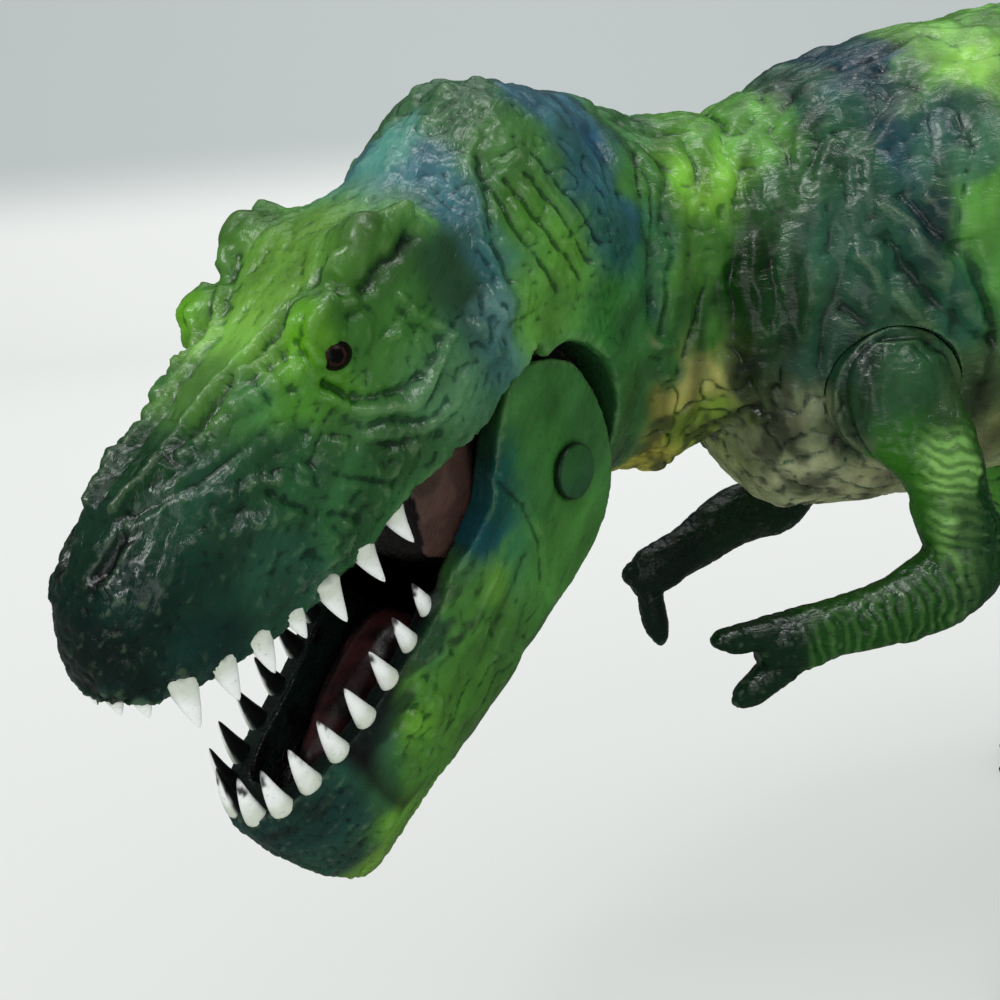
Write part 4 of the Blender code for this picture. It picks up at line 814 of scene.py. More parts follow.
def makeHead():
    rows = evenly(skullRows, 8)
    overlap = rows[-1] - (0.011, 0, 0, 0, 0, 0, 0)
    item = newObject("head_skin", skin(skullRings(np.vstack([rows, overlap]), 160)))
    carve(item, headTools())
    seam = skullRings(np.array(skullRows[-1:]), 64)[0].mean(axis=0)
    carve(item, [rod(seam - (0, 0.004, 0), seam + (0, 0.008, 0), 0.0075)], "UNION")
    remesh(item, head["voxel"])
    relax(item, 3)
    here = mirroredLeft(headPlaces(item))
    forward, left, up = here.T
    outward = normalsOf(item)
    sideways = outward[:, 0] * np.sign(pointsOf(item)[:, 0])
    lip = np.interp(forward, *(np.array(lipRows[::-1]) * (figure["headLength"], figure["headTop"]) / mm).T)
    lip += 0.7 * layers(here, 2.0, 2, 73) * (forward > 44)
    # Inside the mouth: the palate and the core, seen between the teeth
    roof = (left < 9.9) & (forward > 21) & (forward < 55.5) & (up < lip + 9) & (outward[:, 2] < 0.1)
    roof &= (sideways < 0.5) | (up < lip - 0.1)
    core = (left < 9.1) & (forward < 22.2) & (np.hypot(forward, up) < 22.0) & (up < 19.5)
    inner = (roof | core).astype(float)
    height = texturedHead(here) * guard(here) * (1 - 0.9 * inner)
    rim = (forward > 48) * ramp(lip + 2.2 - up, 0, 1.6)
    height += 0.5 * rim * creased(here, 1.3, 71)
    height -= 0.35 * ramp(-forward, 14.1, 14.45)
    pushOut(item, outward, height)
    stand = relief(item, 0.05)
    wandering = bent(here, 4.0, 0.9)
    colours = airbrushed(here, headPatches, 1.6) * tone(here, skullFlow, 2.5)
    colours = mixed(colours, (30, 62, 38), 0.7 * plateShare(here))
    colours = mixed(colours, (70, 112, 92), 0.35 * rim * ramp(creased(here, 1.3, 71), 0.1, 0.4))
    # painted shade: near-black along the nostril slit
    colours = mixed(colours, (3, 8, 7), 0.95 * np.clip(strokes(here, (
        (1.0, 0.85, ((50.9, 3.9, 17.8), (52.7, 3.2, 16.4), (54.4, 2.8, 14.9))),)), 0, 1))
    # painted shade: dark green in the groove on the brow behind the eye
    colours = mixed(colours, (10, 30, 24), 0.85 * np.clip(strokes(bent(here, 3.0, 0.35), (
        (1.2, 0.75, ((15.4, 11.3, 33.4), (17.2, 11.3, 32.9), (19.4, 11.1, 32.2), (20.9, 10.8, 31.2))),)), 0, 1))
    colours = mixed(colours, (12, 8, 8), roof)
    plate = core & (sideways > 0.6)
    worn = ramp(layers(here, 2.6, 3, 77), -0.4, 0.5)
    colours = mixed(colours, (20, 13, 12), core)
    colours = mixed(colours, (92, 66, 58), plate * ramp(forward, 11.0, 13.0) * (0.55 + 0.35 * worn))
    # painted shade: darker green on the walls of the pocket the jaw's ear turns in
    pocket = (left > 8.0) & (np.hypot(forward, up) < 16.6) & (sideways < 0.3) & (up < 17) & (forward < 17)
    colours = mixed(colours, (22, 54, 28), 0.9 * pocket * (1 - ramp(left, 12.6, 13.8)))
    setPaint(item, colours, flow=stretched(wandering, skullFlow, 3.0), relief=stand * (1 - inner))
    place(item, headFrame)
    finishPiece(item, "figure", headSkin, ("head",))
    print("head", len(item.data.polygons) * 2, "triangles")


# Teeth

toothSize = {"length": 0.0056, "width": 0.00162, "thick": 0.00112, "root": 0.0022}
upperTeeth = (
    (0.450, 0.716, 0.205, 0.90, 0.36), (0.530, 0.684, 0.166, 0.98, 0.32), (0.615, 0.646, 0.128, 0.96, 0.20),
    (0.690, 0.610, 0.112, 0.66, 0.16), (0.760, 0.566, 0.106, 0.88, 0.08), (0.832, 0.512, 0.100, 0.94, 0.08),
    (0.900, 0.436, 0.098, 1.02, 0.02), (0.956, 0.300, 0.092, 0.46, 0.0), (0.978, 0.130, 0.096, 0.42, 0.0),
)
lowerTeeth = (
    (0.440, 0.590, 0.250, 0.74, 0.12), (0.520, 0.575, 0.200, 0.80, 0.10), (0.605, 0.560, 0.165, 0.88, 0.10),
    (0.695, 0.535, 0.140, 0.92, 0.12), (0.780, 0.490, 0.150, 0.94, 0.16), (0.860, 0.420, 0.155, 0.98, 0.20),
    (0.925, 0.310, 0.165, 1.00, 0.26), (0.962, 0.130, 0.170, 0.96, 0.34),
)


def toothRow(table, length, half, depth, pointing):
    # Each tooth: flattened rings that shrink as (1 - t)^0.72 to a blunt tip, along a line that leans back
    # as t^1.5. The root, at t below 0, draws in behind the lip.
    rows = np.array([(row[0] * length, row[1] * half) for row in table])
    parts, shades = [], []
    for index, (forward, outward, level, size, lean) in enumerate(table):
        before, after = rows[max(index - 1, 0)], rows[min(index + 1, len(rows) - 1)]
        way = np.array([after[1] - before[1], before[0] - after[0]])
        way /= np.linalg.norm(way)
        tall = toothSize["length"] * size
        t = np.concatenate([np.linspace(-toothSize["root"] / tall, -0.04, 4), np.linspace(0, 1, 17)])
        taper = np.where(t < 0, 1 + 0.9 * t, np.clip(1.02 - t, 0.02, 1)**0.72)
        taper = np.where(t > 0.97, taper * 0.5, taper)
        for side in (1, -1):
            normal = np.array([-way[1] * side, way[0], 0.0])
            along = np.array([normal[1], -normal[0], 0.0])
            root = np.array([side * outward * half, -forward * length, level * depth])
            centres = root + t[:, None] * (0, 0, pointing * tall)
            centres[:, 1] += lean * tall * np.clip(t, 0, 1)**1.5
            centres -= np.clip(-t, 0, 1)[:, None] * normal * toothSize["root"]
            wide = toothSize["width"] * size**0.5 * taper * (1.0 if pointing < 0 else 0.88)
            thick = toothSize["thick"] * size**0.5 * taper
            parts.append(skin(sections(centres, along, normal, wide, thick, thick, 2.0, 2.0, 20)))
            shades.append((normal, root, tall))
    return parts, shades


def toothPaintOn(item, parts, shades, pointing, dirty):
    # White on the outer face, dark behind, dirty at the tip or at the gum
    points, normals = pointsOf(item), normalsOf(item)
    colours = np.zeros((len(points), 3))
    start = 0
    for (partPoints, _), (normal, root, tall) in zip(parts, shades):
        end = start + len(partPoints)
        facing = normals[start:end] @ normal
        rise = (points[start:end, 2] - root[2]) * pointing / tall
        grime = layers(points[start:end] / mm, 1.1, 2, 61) * 0.5
        colour = mixed(np.tile(linear((246, 249, 246)), (end - start, 1)), (206, 214, 198),
                       1 - ramp(rise + grime * 0.3, 0.05, 0.55))
        colour = mixed(colour, (60, 84, 66), 0.8 * (1 - ramp(rise + grime * 0.3, -0.22, -0.04)))
        colour = mixed(colour, (26, 24, 22), dirty * ramp(rise + grime * 0.7, 0.74, 0.96))
        colours[start:end] = mixed(colour, (12, 16, 14), 1 - ramp(facing + grime * 0.25, -0.42, -0.12))
        start = end
    setPaint(item, colours)


def makeTeeth(name, table, length, half, depth, pointing, dirty, matrix, body):
    parts, shades = toothRow(table, length, half, depth, pointing)
    item = newObject(name, merged(parts))
    toothPaintOn(item, parts, shades, pointing, dirty)
    place(item, matrix)
    finishPiece(item, body, toothPaint)


# Eyes

eye = {"place": (0.652, 0.463, 0.603), "radius": 0.00160}


def makeEyes():
    # Two low beads: x = cos(v) cos(u), y = cos(v) sin(u), z = sin(v), with the paint ringed about outward
    parts, centres = [], []
    v = np.linspace(-np.pi / 2 + 0.02, np.pi / 2 - 0.02, 25)
    for side in (1, -1):
        across, forward, up = eye["place"]
        middle = np.array([side * across * figure["headWidth"], -forward * figure["headLength"],
                           up * figure["headTop"]])
        rings = sections(middle + np.outer(np.sin(v), (0, 0, 1)) * eye["radius"], axisX, (0, 1, 0),
                         np.cos(v) * eye["radius"], np.cos(v) * eye["radius"] * 1.15,
                         np.cos(v) * eye["radius"] * 1.15, 2.0, 2.0, 40)
        parts.append(skin(rings))
        centres.append((middle, side))
    item = newObject("eyes", merged(parts))
    points = pointsOf(item)
    count = len(parts[0][0])
    colours = np.zeros((len(points), 3))
    for index, (middle, side) in enumerate(centres):
        ray = points[index * count:(index + 1) * count] - middle
        facing = np.array([side * 0.83, -0.52, 0.20])
        angle = np.degrees(np.arccos(np.clip(ray @ facing / np.linalg.norm(ray, axis=1), -1, 1)))
        ring = ramp(angle, 26, 31) * (1 - ramp(angle, 33, 39))
        colour = mixed(np.tile(linear((9, 7, 6)), (count, 1)), (52, 31, 23), ring)
        colours[index * count:(index + 1) * count] = mixed(colour, (18, 12, 9), ramp(angle, 40, 46))
    setPaint(item, colours)
    place(item, headFrame)
    finishPiece(item, "figure", eyePaint)


# Lower jaw

jaw = {"voxel": 0.00032, "earInner": 0.0088, "pinHead": 0.0033, "pinSeat": 0.0123, "gap": 0.0003}
jawOutline = (
    (0.145, -0.790), (0.260, -0.800), (0.345, -0.850), (0.430, -0.950), (0.510, -1.030), (0.590, -1.060),
    (0.670, -1.020), (0.740, -0.965), (0.800, -1.010), (0.870, -1.120), (0.925, -1.090), (0.965, -0.800),
    (0.990, -0.450), (1.000, -0.060), (0.985, 0.180), (0.930, 0.190), (0.850, 0.165), (0.700, 0.145),
    (0.600, 0.175), (0.500, 0.225), (0.440, 0.290), (0.375, 0.440), (0.310, 0.470),
)
jawRows = (
    (-0.260, 0.900, 1.35, 0.10, -1.30, 5.0, 4.0), (-0.100, 0.920, 1.35, 0.10, -1.30, 5.0, 4.0),
    (0.060, 0.930, 1.35, 0.10, -1.30, 5.0, 3.4), (0.180, 0.925, 1.30, 0.00, -1.25, 4.6, 3.0),
    (0.280, 0.905, 1.25, -0.10, -1.20, 4.0, 2.8), (0.380, 0.855, 1.05, -0.25, -1.18, 3.6, 2.6),
    (0.480, 0.785, 0.70, -0.35, -1.17, 3.0, 2.5), (0.600, 0.725, 0.46, -0.40, -1.16, 2.6, 2.4),
    (0.720, 0.675, 0.42, -0.42, -1.11, 2.6, 2.3), (0.820, 0.610, 0.42, -0.42, -1.15, 2.6, 2.2),
    (0.900, 0.510, 0.42, -0.42, -1.23, 2.5, 2.1), (0.955, 0.370, 0.42, -0.42, -1.12, 2.4, 2.0),
    (0.995, 0.160, 0.38, -0.42, -0.80, 2.2, 2.0),
)
troughRows = (
    (0.405, 0.500, -0.42), (0.450, 0.500, -0.38), (0.600, 0.460, -0.34), (0.730, 0.400, -0.30),
    (0.840, 0.310, -0.22), (0.900, 0.180, -0.12),
)
tongueRows = (
    (0.420, 0.24, -0.10), (0.450, 0.32, 0.06), (0.530, 0.34, 0.14), (0.640, 0.31, 0.12),
    (0.750, 0.25, 0.02), (0.810, 0.18, -0.06), (0.835, 0.08, -0.16),
)
jawStrokes = (
    (0.45, 0.90, ((15.3, 12.2, 2.3), (20.8, 11.4, 0.4), (27.7, 10.5, -3.0), (33.0, 9.8, -5.4))),
    (-0.40, 0.80, ((12.0, 12.3, -1.0), (19.0, 11.9, -3.2), (26.0, 10.8, -6.2), (33.5, 9.8, -8.4))),
    (0.40, 0.80, ((12.0, 11.6, -9.6), (20.0, 11.0, -10.0), (28.0, 10.0, -11.8), (36.0, 8.9, -12.6))),
    (-0.35, 0.50, ((9.0, 12.5, 9.6), (8.2, 12.6, 4.0), (9.4, 12.6, -1.6), (12.0, 12.4, -5.4))),
    (-0.40, 0.60, ((26.0, 10.3, 1.0), (32.0, 9.8, -0.6), (38.0, 9.0, -0.8), (44.0, 7.6, -0.4))),
    (0.35, 0.60, ((44.0, 7.8, -6.0), (47.4, 6.4, -6.6), (50.4, 3.6, -6.8))),
)
jawBumps = (
    (0.60, 1.35, (30.9, 9.4, -0.6)), (0.65, 1.35, (33.9, 9.4, -2.0)), (0.55, 1.30, (36.9, 9.1, -2.2)),
    (0.45, 1.10, (26.2, 10.2, 0.7)), (0.45, 1.20, (30.8, 9.8, -3.0)), (0.55, 1.40, (40.7, 8.6, -3.4)),
    (0.45, 1.20, (43.2, 8.0, -4.6)), (0.45, 1.30, (38.0, 9.0, -6.0)), (0.40, 1.20, (46.0, 6.4, -9.4)),
    (0.45, 1.40, (28.0, 10.2, 1.0)), (0.40, 1.20, (23.5, 10.8, 1.2)),
)
jawPatches = (
    ((-3.0, 12.4, 12.0), 4.0, (56, 110, 50)), ((-6.4, 12.5, 1.8), 4.0, (50, 98, 48)),
    ((0.0, 12.5, 4.0), 4.0, (50, 104, 44)), ((6.8, 12.5, -5.0), 4.0, (62, 118, 46)),
    ((11.6, 12.4, 12.0), 2.6, (4, 64, 56)), ((12.6, 11.6, 7.4), 2.8, (2, 72, 80)),
    ((9.4, 12.4, 9.0), 2.6, (8, 74, 62)), ((12.8, 12.2, 1.0), 2.8, (44, 104, 62)),
    ((20.8, 11.4, -0.9), 4.0, (62, 112, 40)), ((15.3, 12.2, 1.6), 2.8, (86, 138, 44)),
    ((20.0, 11.0, -8.6), 4.0, (56, 102, 40)), ((28.0, 10.2, -6.0), 4.0, (62, 112, 34)),
    ((28.5, 9.4, -13.0), 4.0, (56, 98, 34)), ((33.9, 9.6, -2.4), 2.8, (86, 142, 34)),
    ((30.9, 9.6, -0.2), 2.6, (70, 122, 40)), ((26.0, 10.2, 1.8), 2.2, (54, 108, 54)),
    ((36.6, 9.0, -8.0), 3.4, (66, 118, 36)), ((36.6, 9.2, 0.4), 2.2, (44, 96, 66)),
    ((41.4, 8.6, -4.0), 2.8, (44, 90, 50)), ((42.0, 7.8, -10.0), 3.0, (88, 142, 40)),
    ((46.6, 6.6, -2.0), 3.4, (16, 58, 50)), ((50.6, 1.0, -1.4), 4.0, (14, 54, 50)),
    ((49.4, 3.6, -7.6), 3.4, (24, 60, 48)), ((48.0, 4.4, -13.6), 3.0, (88, 128, 40)),
    ((42.0, 3.0, -15.0), 4.0, (84, 124, 40)), ((41.6, 8.2, 1.4), 2.0, (32, 84, 70)),
)


def jawSides():
    ear = np.vstack([aboutPin(earRadius(degrees), [degrees]) for degrees in range(36, 289, 6)])
    return np.vstack([ear, evenly(jawOutline, 3) * (figure["jawLength"], figure["jawDepth"])])


jawFlow = (0.9, 0.0, -0.25)


def makeJaw():
    forward, width, top, middle, bottom, upper, lower = evenly(jawRows, 6).T
    depth, length, half = figure["jawDepth"], figure["jawLength"], figure["jawWidth"]
    centres = np.column_stack([0 * forward, -forward * length, middle * depth])
    item = newObject("jaw_skin", skin(sections(centres, axisX, axisZ, width * half, (top - middle) * depth,
                                               (middle - bottom) * depth, upper, lower, 96)))
    wide = half + 0.004
    carve(item, [prism(jawSides(), -wide, wide)], "INTERSECT")
    reach = head["coreRadius"] + 2 * head["gap"]
    front = aboutPin(reach, np.arange(-24, 61, 3))
    front[:, 1] = np.maximum(front[:, 1], -head["floor"])
    level = math.sqrt((head["heelRadius"] + head["gap"])**2 - head["floor"]**2)
    room = np.vstack([front, [(0, 2 * depth), (-0.0316, 2 * depth), (-0.0316, -2 * depth),
                              (level, -2 * depth), (level, -head["floor"])]])
    forward, width, floor = evenly(troughRows, 4).T
    centres = np.column_stack([0 * forward, -forward * length, floor * depth + depth])
    deep = 0 * forward + depth
    trough = sections(centres, axisX, axisZ, width * half, deep, deep, 4.0, 3.0, 48)
    bore, recess, seat = head["pinRadius"], jaw["pinHead"] + jaw["gap"], jaw["pinSeat"]
    pinRoom = lathe([(-wide, recess), (-seat, recess), (-seat, bore), (seat, bore), (seat, recess),
                     (wide, recess)])
    carve(item, [prism(room, -jaw["earInner"], jaw["earInner"]), skin(trough), pinRoom])
    remesh(item, jaw["voxel"])
    relax(item, 2)
    here = mirroredLeft(headPlaces(item))
    forward, left, up = here.T
    outward = normalsOf(item)
    sideways = outward[:, 0] * np.sign(pointsOf(item)[:, 0])
    radius = np.hypot(forward, up)
    # Only the outer skin is worked, not the faces that turn in the skull or lie under the pin heads
    outer = ramp(sideways, -0.2, 0.4) * ramp(left, 8.2, 9.6)
    outer = np.maximum(outer, ramp(forward, 40, 44) * ramp(-outward[:, 1], -0.2, 0.3))
    outer = np.maximum(outer, ramp(-outward[:, 2], 0.1, 0.5) * (up < -6) * (forward > 14))
    near, second, number = pebbles(here, 1.5, 13)
    cobble = ramp(second - near, 0.02, 0.42) * (0.6 + 0.5 * number) - 0.55
    chin = ramp(forward, 24, 36)
    wandering = bent(here, 4.0, 0.8)
    streaks = creased(stretched(wandering, jawFlow, 3), 2.0, 34)
    fine = creased(here, 1.5, 33)
    body = ramp(forward, 8, 18)
    height = strokes(here, jawStrokes) + 1.2 * bumps(here, jawBumps)
    height += chin * (0.10 * cobble + 0.24 * fine) + body * (1 - 0.5 * chin) * 0.36 * streaks
    height += (1 - body) * 0.10 * fine + 0.22 * layers(here, 6.0, 2, 6) * ramp(radius, 10, 18)
    height *= outer * ramp(radius, 4.2, 5.4)
    pushOut(item, outward, height)
    colours = airbrushed(here, jawPatches, 1.4) * tone(here, jawFlow, 2.5)
    # painted shade: near black on the jaw's inner faces, between its ears and the skull's core and inside the
    # mouth
    innerSide = (1 - np.clip(outer * 1.6, 0, 1)) * (up > -9.8)
    colours = mixed(colours, (9, 9, 8), innerSide * ramp(up, -12, -9))
    gum = ramp(up, -1.6, -0.2) * ramp(forward, 18, 22) * (forward < 52)
    colours = mixed(colours, (16, 34, 28), 0.7 * gum * ramp(layers(here, 2.4, 2, 35) + gum, 0.5, 1.1))
    front = ramp(forward, 7, 12) * (radius < 17.5) * (up > 4) * innerSide
    colours = mixed(colours, (16, 66, 74), 0.9 * front * (left > 8.6))
    setPaint(item, colours, flow=stretched(wandering, jawFlow, 2.5), relief=relief(item, 0.04) * outer)
    place(item, jawFrame)
    finishPiece(item, "jaw", headSkin, ("lower_jaw",))
    print("jaw", len(item.data.polygons) * 2, "triangles")


def makeTongue():
    # Rounded-box sections with a ridge along the middle, drawn in to the tip
    forward, width, top = evenly(tongueRows, 12).T
    sink, root = 0.0029, 0.0072
    centres = np.column_stack([0 * forward, -forward * figure["jawLength"], 0 * forward - root])
    rings = sections(centres, axisX, axisZ, width * figure["jawWidth"], top * figure["jawDepth"] + root,
                     0 * forward + sink, 2.4, 2.0, 64)
    item = newObject("tongue", skin(rings))
    here = headPlaces(item)
    outward = normalsOf(item)
    ridge = 0.45 * np.exp(-(here[:, 1] / 0.7)**2) * ramp(outward[:, 2], 0.2, 0.7)
    ridge += 0.30 * creased(stretched(here, (1, 0, 0.1), 4), 1.6, 71)
    pushOut(item, outward, ridge)
    colours = np.tile(linear((58, 26, 28)), (len(here), 1))
    colours = mixed(colours, (22, 10, 12), ramp(layers(here, 3.0, 2, 72), -0.2, 0.6))
    setPaint(item, colours)
    place(item, jawFrame)
    finishPiece(item, "jaw", mouthPaint)


def makePin():
    # Turned profiles with a small round at the rim of the head
    seat, radius, tall, shaft = jaw["pinSeat"] + jaw["gap"], jaw["pinHead"], 0.0008, 0.00142
    turn = np.radians(np.linspace(0, 90, 6))
    rim = np.column_stack([seat + tall - 0.0003 * (1 - np.sin(turn)), radius - 0.0003 * (1 - np.cos(turn))])
    pin = [(-seat - tall / 4, shaft), (seat, shaft), (seat, radius)] + rim.tolist() + [(seat + tall, 0.001)]
    cup = [(-seat - tall / 2, shaft + 0.0001), (-seat, shaft + 0.0001), (-seat, radius)]
    cup += (rim * (-1, 1)).tolist() + [(-seat - tall, 0.001)]
    for name, profile, node in (("pin_left", pin, "jaw_pin"), ("pin_right", cup, "jaw_pin_cap")):
        item = newObject(name, lathe(profile, 96))
        here = headPlaces(item)
        colours = airbrushed(here, (((0, 12, 2), 3, (44, 94, 44)), ((0, 12, -2), 3, (40, 84, 50))), 1.0)
        # painted shade: dark round the rim of each pin head
        colours = mixed(colours, (6, 26, 16), 0.9 * ramp(np.hypot(here[:, 0], here[:, 2]), 2.9, 3.3))
        setPaint(item, colours, relief=0.5 * layers(here, 1.2, 2, 75))
        place(item, headFrame)
        finishPiece(item, "figure", headSkin, (node,))


makeHead()
makeEyes()
makeTeeth("upper_teeth", upperTeeth, figure["headLength"], figure["headWidth"], figure["headTop"], -1, 0.0,
          headFrame, "figure")
print("head made")
makeJaw()
makeTongue()
makeTeeth("lower_teeth", lowerTeeth, figure["jawLength"], figure["jawWidth"], figure["jawDepth"], 1, 0.95,
          jawFrame, "jaw")
makePin()
print("jaw made")


# Neck, chest, belly and hips

torsoRows = (
    # place along, sideways, half-width, height, rise, drop, and shares of the head's turn and pitch
    (0.000, 0.00, 0.70, 0.812, 0.168, 0.172, 0.00, 0.00), (0.081, 0.00, 0.81, 0.804, 0.190, 0.192, 0.00, 0.00),
    (0.169, 0.00, 0.90, 0.794, 0.208, 0.206, 0.00, 0.00),
    (0.274, -0.02, 0.96, 0.776, 0.227, 0.212, 0.00, 0.00),
    (0.387, -0.06, 0.98, 0.757, 0.242, 0.212, 0.00, 0.00),
    (0.500, -0.10, 1.00, 0.741, 0.249, 0.222, 0.00, 0.00),
    (0.597, -0.13, 0.965, 0.729, 0.245, 0.228, 0.00, 0.00),
    (0.685, -0.15, 0.895, 0.722, 0.232, 0.222, 0.00, 0.00),
    (0.774, -0.15, 0.790, 0.722, 0.204, 0.190, 0.10, 0.00),
    (0.850, -0.11, 0.690, 0.735, 0.178, 0.166, 0.34, 0.25),
    (0.925, 0.02, 0.640, 0.737, 0.196, 0.178, 0.66, 0.60),
)
torsoSwellings = (
    (0.620, 18, 0.080, 24, 0.060), (0.700, -32, 0.060, 22, 0.070), (0.500, -20, 0.070, 24, -0.040),
    (0.330, -38, 0.110, 26, 0.050), (0.120, 30, 0.080, 24, 0.050), (0.820, -76, 0.030, 26, -0.080),
    (0.910, -72, 0.030, 24, 0.060), (0.740, -80, 0.045, 24, 0.060), (0.800, 84, 0.040, 30, -0.040),
)
torso = {"around": 400, "frontRows": 165, "rearRows": 56, "squareness": 2.2, "middleX": -3.0}
torsoStrokes = (
    (-0.75, 0.80, ((6.5, -97.3, 111.6), (10.4, -97.7, 103.0), (11.2, -97.5, 94.3))),
    (-0.60, 0.75, ((5.9, -93.8, 110.2), (9.5, -95.2, 99.9), (10.2, -96.3, 90.5))),
    (-0.90, 0.80, ((7.8, -87.6, 103.9), (8.9, -87.2, 96.8), (8.8, -86.9, 88.5))),
    (-0.45, 0.70, ((6.8, -83.4, 108.2), (9.6, -83.4, 98.8), (9.9, -83.4, 90.5))),
    (-0.40, 0.70, ((6.0, -79.0, 110.0), (10.4, -79.0, 100.0), (10.8, -79.6, 90.0))),
    (-0.40, 0.70, ((8.6, -90.2, 105.0), (9.6, -91.0, 98.0), (9.6, -91.6, 91.0))),
    (-0.45, 0.60, ((11.6, -101.6, 108.0), (12.8, -101.4, 100.0), (12.6, -100.8, 92.0))),
    (-1.30, 1.00, ((13.5, -67.6, 104.5), (14.8, -65.1, 100.9), (15.6, -61.3, 97.1), (15.5, -58.7, 91.0),
                   (15.1, -57.0, 86.3))),
    (1.00, 1.30, ((13.6, -69.6, 102.8), (15.0, -67.2, 99.0), (15.8, -63.4, 95.0), (15.7, -60.8, 89.0))),
    (-0.90, 0.90, ((13.5, -70.7, 99.0), (15.0, -64.1, 91.5), (14.6, -56.7, 84.8))),
    (0.80, 1.20, ((13.5, -73.0, 97.0), (15.4, -66.4, 89.6), (15.0, -59.0, 82.6))),
    (-0.80, 0.90, ((12.4, -75.0, 91.0), (16.0, -69.0, 87.4), (17.0, -62.6, 81.0))),
    (0.90, 0.70, ((12.9, -102.4, 93.6), (12.4, -100.6, 91.6), (11.0, -97.8, 89.2), (9.4, -94.6, 88.4))),
    (-0.80, 0.70, ((12.2, -101.4, 90.4), (11.0, -99.4, 88.2), (9.6, -96.6, 86.8))),
    (-1.00, 0.90, ((8.4, -87.6, 87.4), (7.8, -85.0, 83.4), (6.4, -85.4, 79.0), (4.4, -87.4, 74.6))),
    (0.90, 1.20, ((8.8, -90.4, 86.0), (7.6, -88.6, 82.0), (6.0, -89.0, 77.4))),
    (0.60, 1.00, ((8.8, -95.4, 84.0), (6.6, -95.0, 79.0), (4.2, -95.4, 75.4))),
    (-0.60, 0.80, ((8.6, -82.0, 82.0), (7.2, -79.4, 77.0), (6.0, -76.6, 72.4))),
    (0.80, 0.90, ((9.2, -79.6, 82.0), (8.0, -77.0, 77.0), (6.8, -74.2, 71.8))),
    (-0.60, 0.80, ((10.4, -76.6, 80.0), (8.8, -73.6, 74.6), (7.6, -71.0, 70.6))),
    (0.70, 0.80, ((11.2, -74.4, 79.4), (9.8, -71.4, 74.4), (8.4, -68.6, 70.6))),
)
torsoPatches = (
    ((9.0, -106.0, 117.0), 4.0, (56, 102, 118)), ((12.0, -104.2, 112.0), 4.0, (44, 92, 118)),
    ((13.0, -103.0, 104.0), 4.0, (36, 86, 96)), ((13.5, -101.0, 95.9), 4.0, (30, 80, 70)),
    ((0.0, -98.0, 117.0), 4.0, (66, 124, 66)), ((8.0, -98.4, 109.0), 3.4, (62, 116, 50)),
    ((10.8, -98.0, 100.0), 3.4, (48, 104, 60)), ((0.0, -91.0, 114.0), 5.0, (86, 146, 52)),
    ((5.9, -91.1, 108.9), 4.0, (114, 174, 50)), ((8.8, -90.6, 100.0), 4.0, (66, 118, 42)),
    ((9.0, -92.0, 92.4), 3.0, (42, 92, 34)), ((8.6, -85.0, 96.0), 3.4, (8, 58, 4)),
    ((9.6, -82.6, 90.6), 3.6, (10, 54, 16)), ((3.0, -83.0, 113.4), 4.0, (86, 148, 54)),
    ((8.0, -80.0, 106.0), 4.0, (48, 94, 50)), ((2.0, -74.6, 117.6), 4.0, (36, 80, 60)),
    ((2.0, -70.0, 119.6), 4.0, (24, 64, 80)), ((10.6, -71.8, 108.4), 5.0, (38, 82, 54)),
    ((11.4, -67.2, 110.3), 4.0, (32, 68, 76)), ((12.4, -74.0, 99.3), 5.0, (38, 80, 60)),
    ((13.0, -66.0, 101.0), 4.0, (34, 66, 62)), ((12.1, -76.7, 86.8), 4.0, (28, 64, 46)),
    ((15.0, -62.0, 91.0), 3.6, (36, 84, 62)), ((13.4, -61.0, 109.0), 4.0, (52, 96, 70)),
    ((3.9, -58.0, 122.6), 4.0, (116, 174, 74)), ((7.2, -55.7, 119.0), 4.0, (138, 200, 76)),
    ((15.4, -56.3, 102.7), 5.0, (84, 144, 56)), ((17.0, -50.0, 96.0), 6.0, (70, 134, 46)),
    ((-2.5, -50.0, 125.0), 6.0, (96, 160, 60)), ((10.0, -30.0, 118.0), 8.0, (60, 116, 60)),
    ((18.0, -30.0, 98.0), 8.0, (76, 140, 46)), ((0.0, -30.0, 126.0), 6.0, (44, 88, 92)),
    ((10.0, -8.0, 116.0), 8.0, (70, 130, 50)), ((0.0, -8.0, 125.0), 7.0, (52, 100, 76)),
    ((16.0, 0.0, 96.0), 8.0, (64, 124, 48)), ((0.0, 10.0, 120.0), 7.0, (76, 138, 54)),
    ((6.0, -99.6, 78.6), 4.0, (166, 150, 58)), ((2.0, -100.0, 76.0), 4.4, (166, 158, 52)),
    ((8.4, -92.0, 82.0), 3.4, (160, 156, 84)), ((10.0, -97.0, 87.0), 3.0, (44, 96, 44)),
    ((9.6, -90.0, 87.6), 2.6, (54, 104, 36)), ((5.0, -91.0, 77.6), 4.0, (104, 128, 38)),
    ((8.0, -85.0, 83.6), 3.4, (46, 60, 34)), ((4.6, -84.6, 76.4), 3.6, (92, 100, 66)),
    ((8.0, -79.0, 79.0), 3.6, (116, 122, 90)), ((6.0, -76.0, 71.0), 4.0, (142, 146, 110)),
    ((9.6, -72.8, 74.6), 3.6, (66, 86, 56)), ((5.7, -69.5, 68.4), 4.0, (140, 142, 104)),
    ((17.0, -70.0, 80.5), 4.6, (30, 66, 36)), ((17.0, -61.0, 79.0), 4.0, (46, 70, 38)),
    ((16.0, -54.0, 70.0), 4.0, (92, 96, 56)),
    ((0.0, -60.0, 67.0), 7.0, (150, 156, 110)), ((0.0, -40.0, 68.0), 8.0, (140, 156, 96)),
    ((0.0, -15.0, 78.0), 8.0, (110, 140, 70)),
)


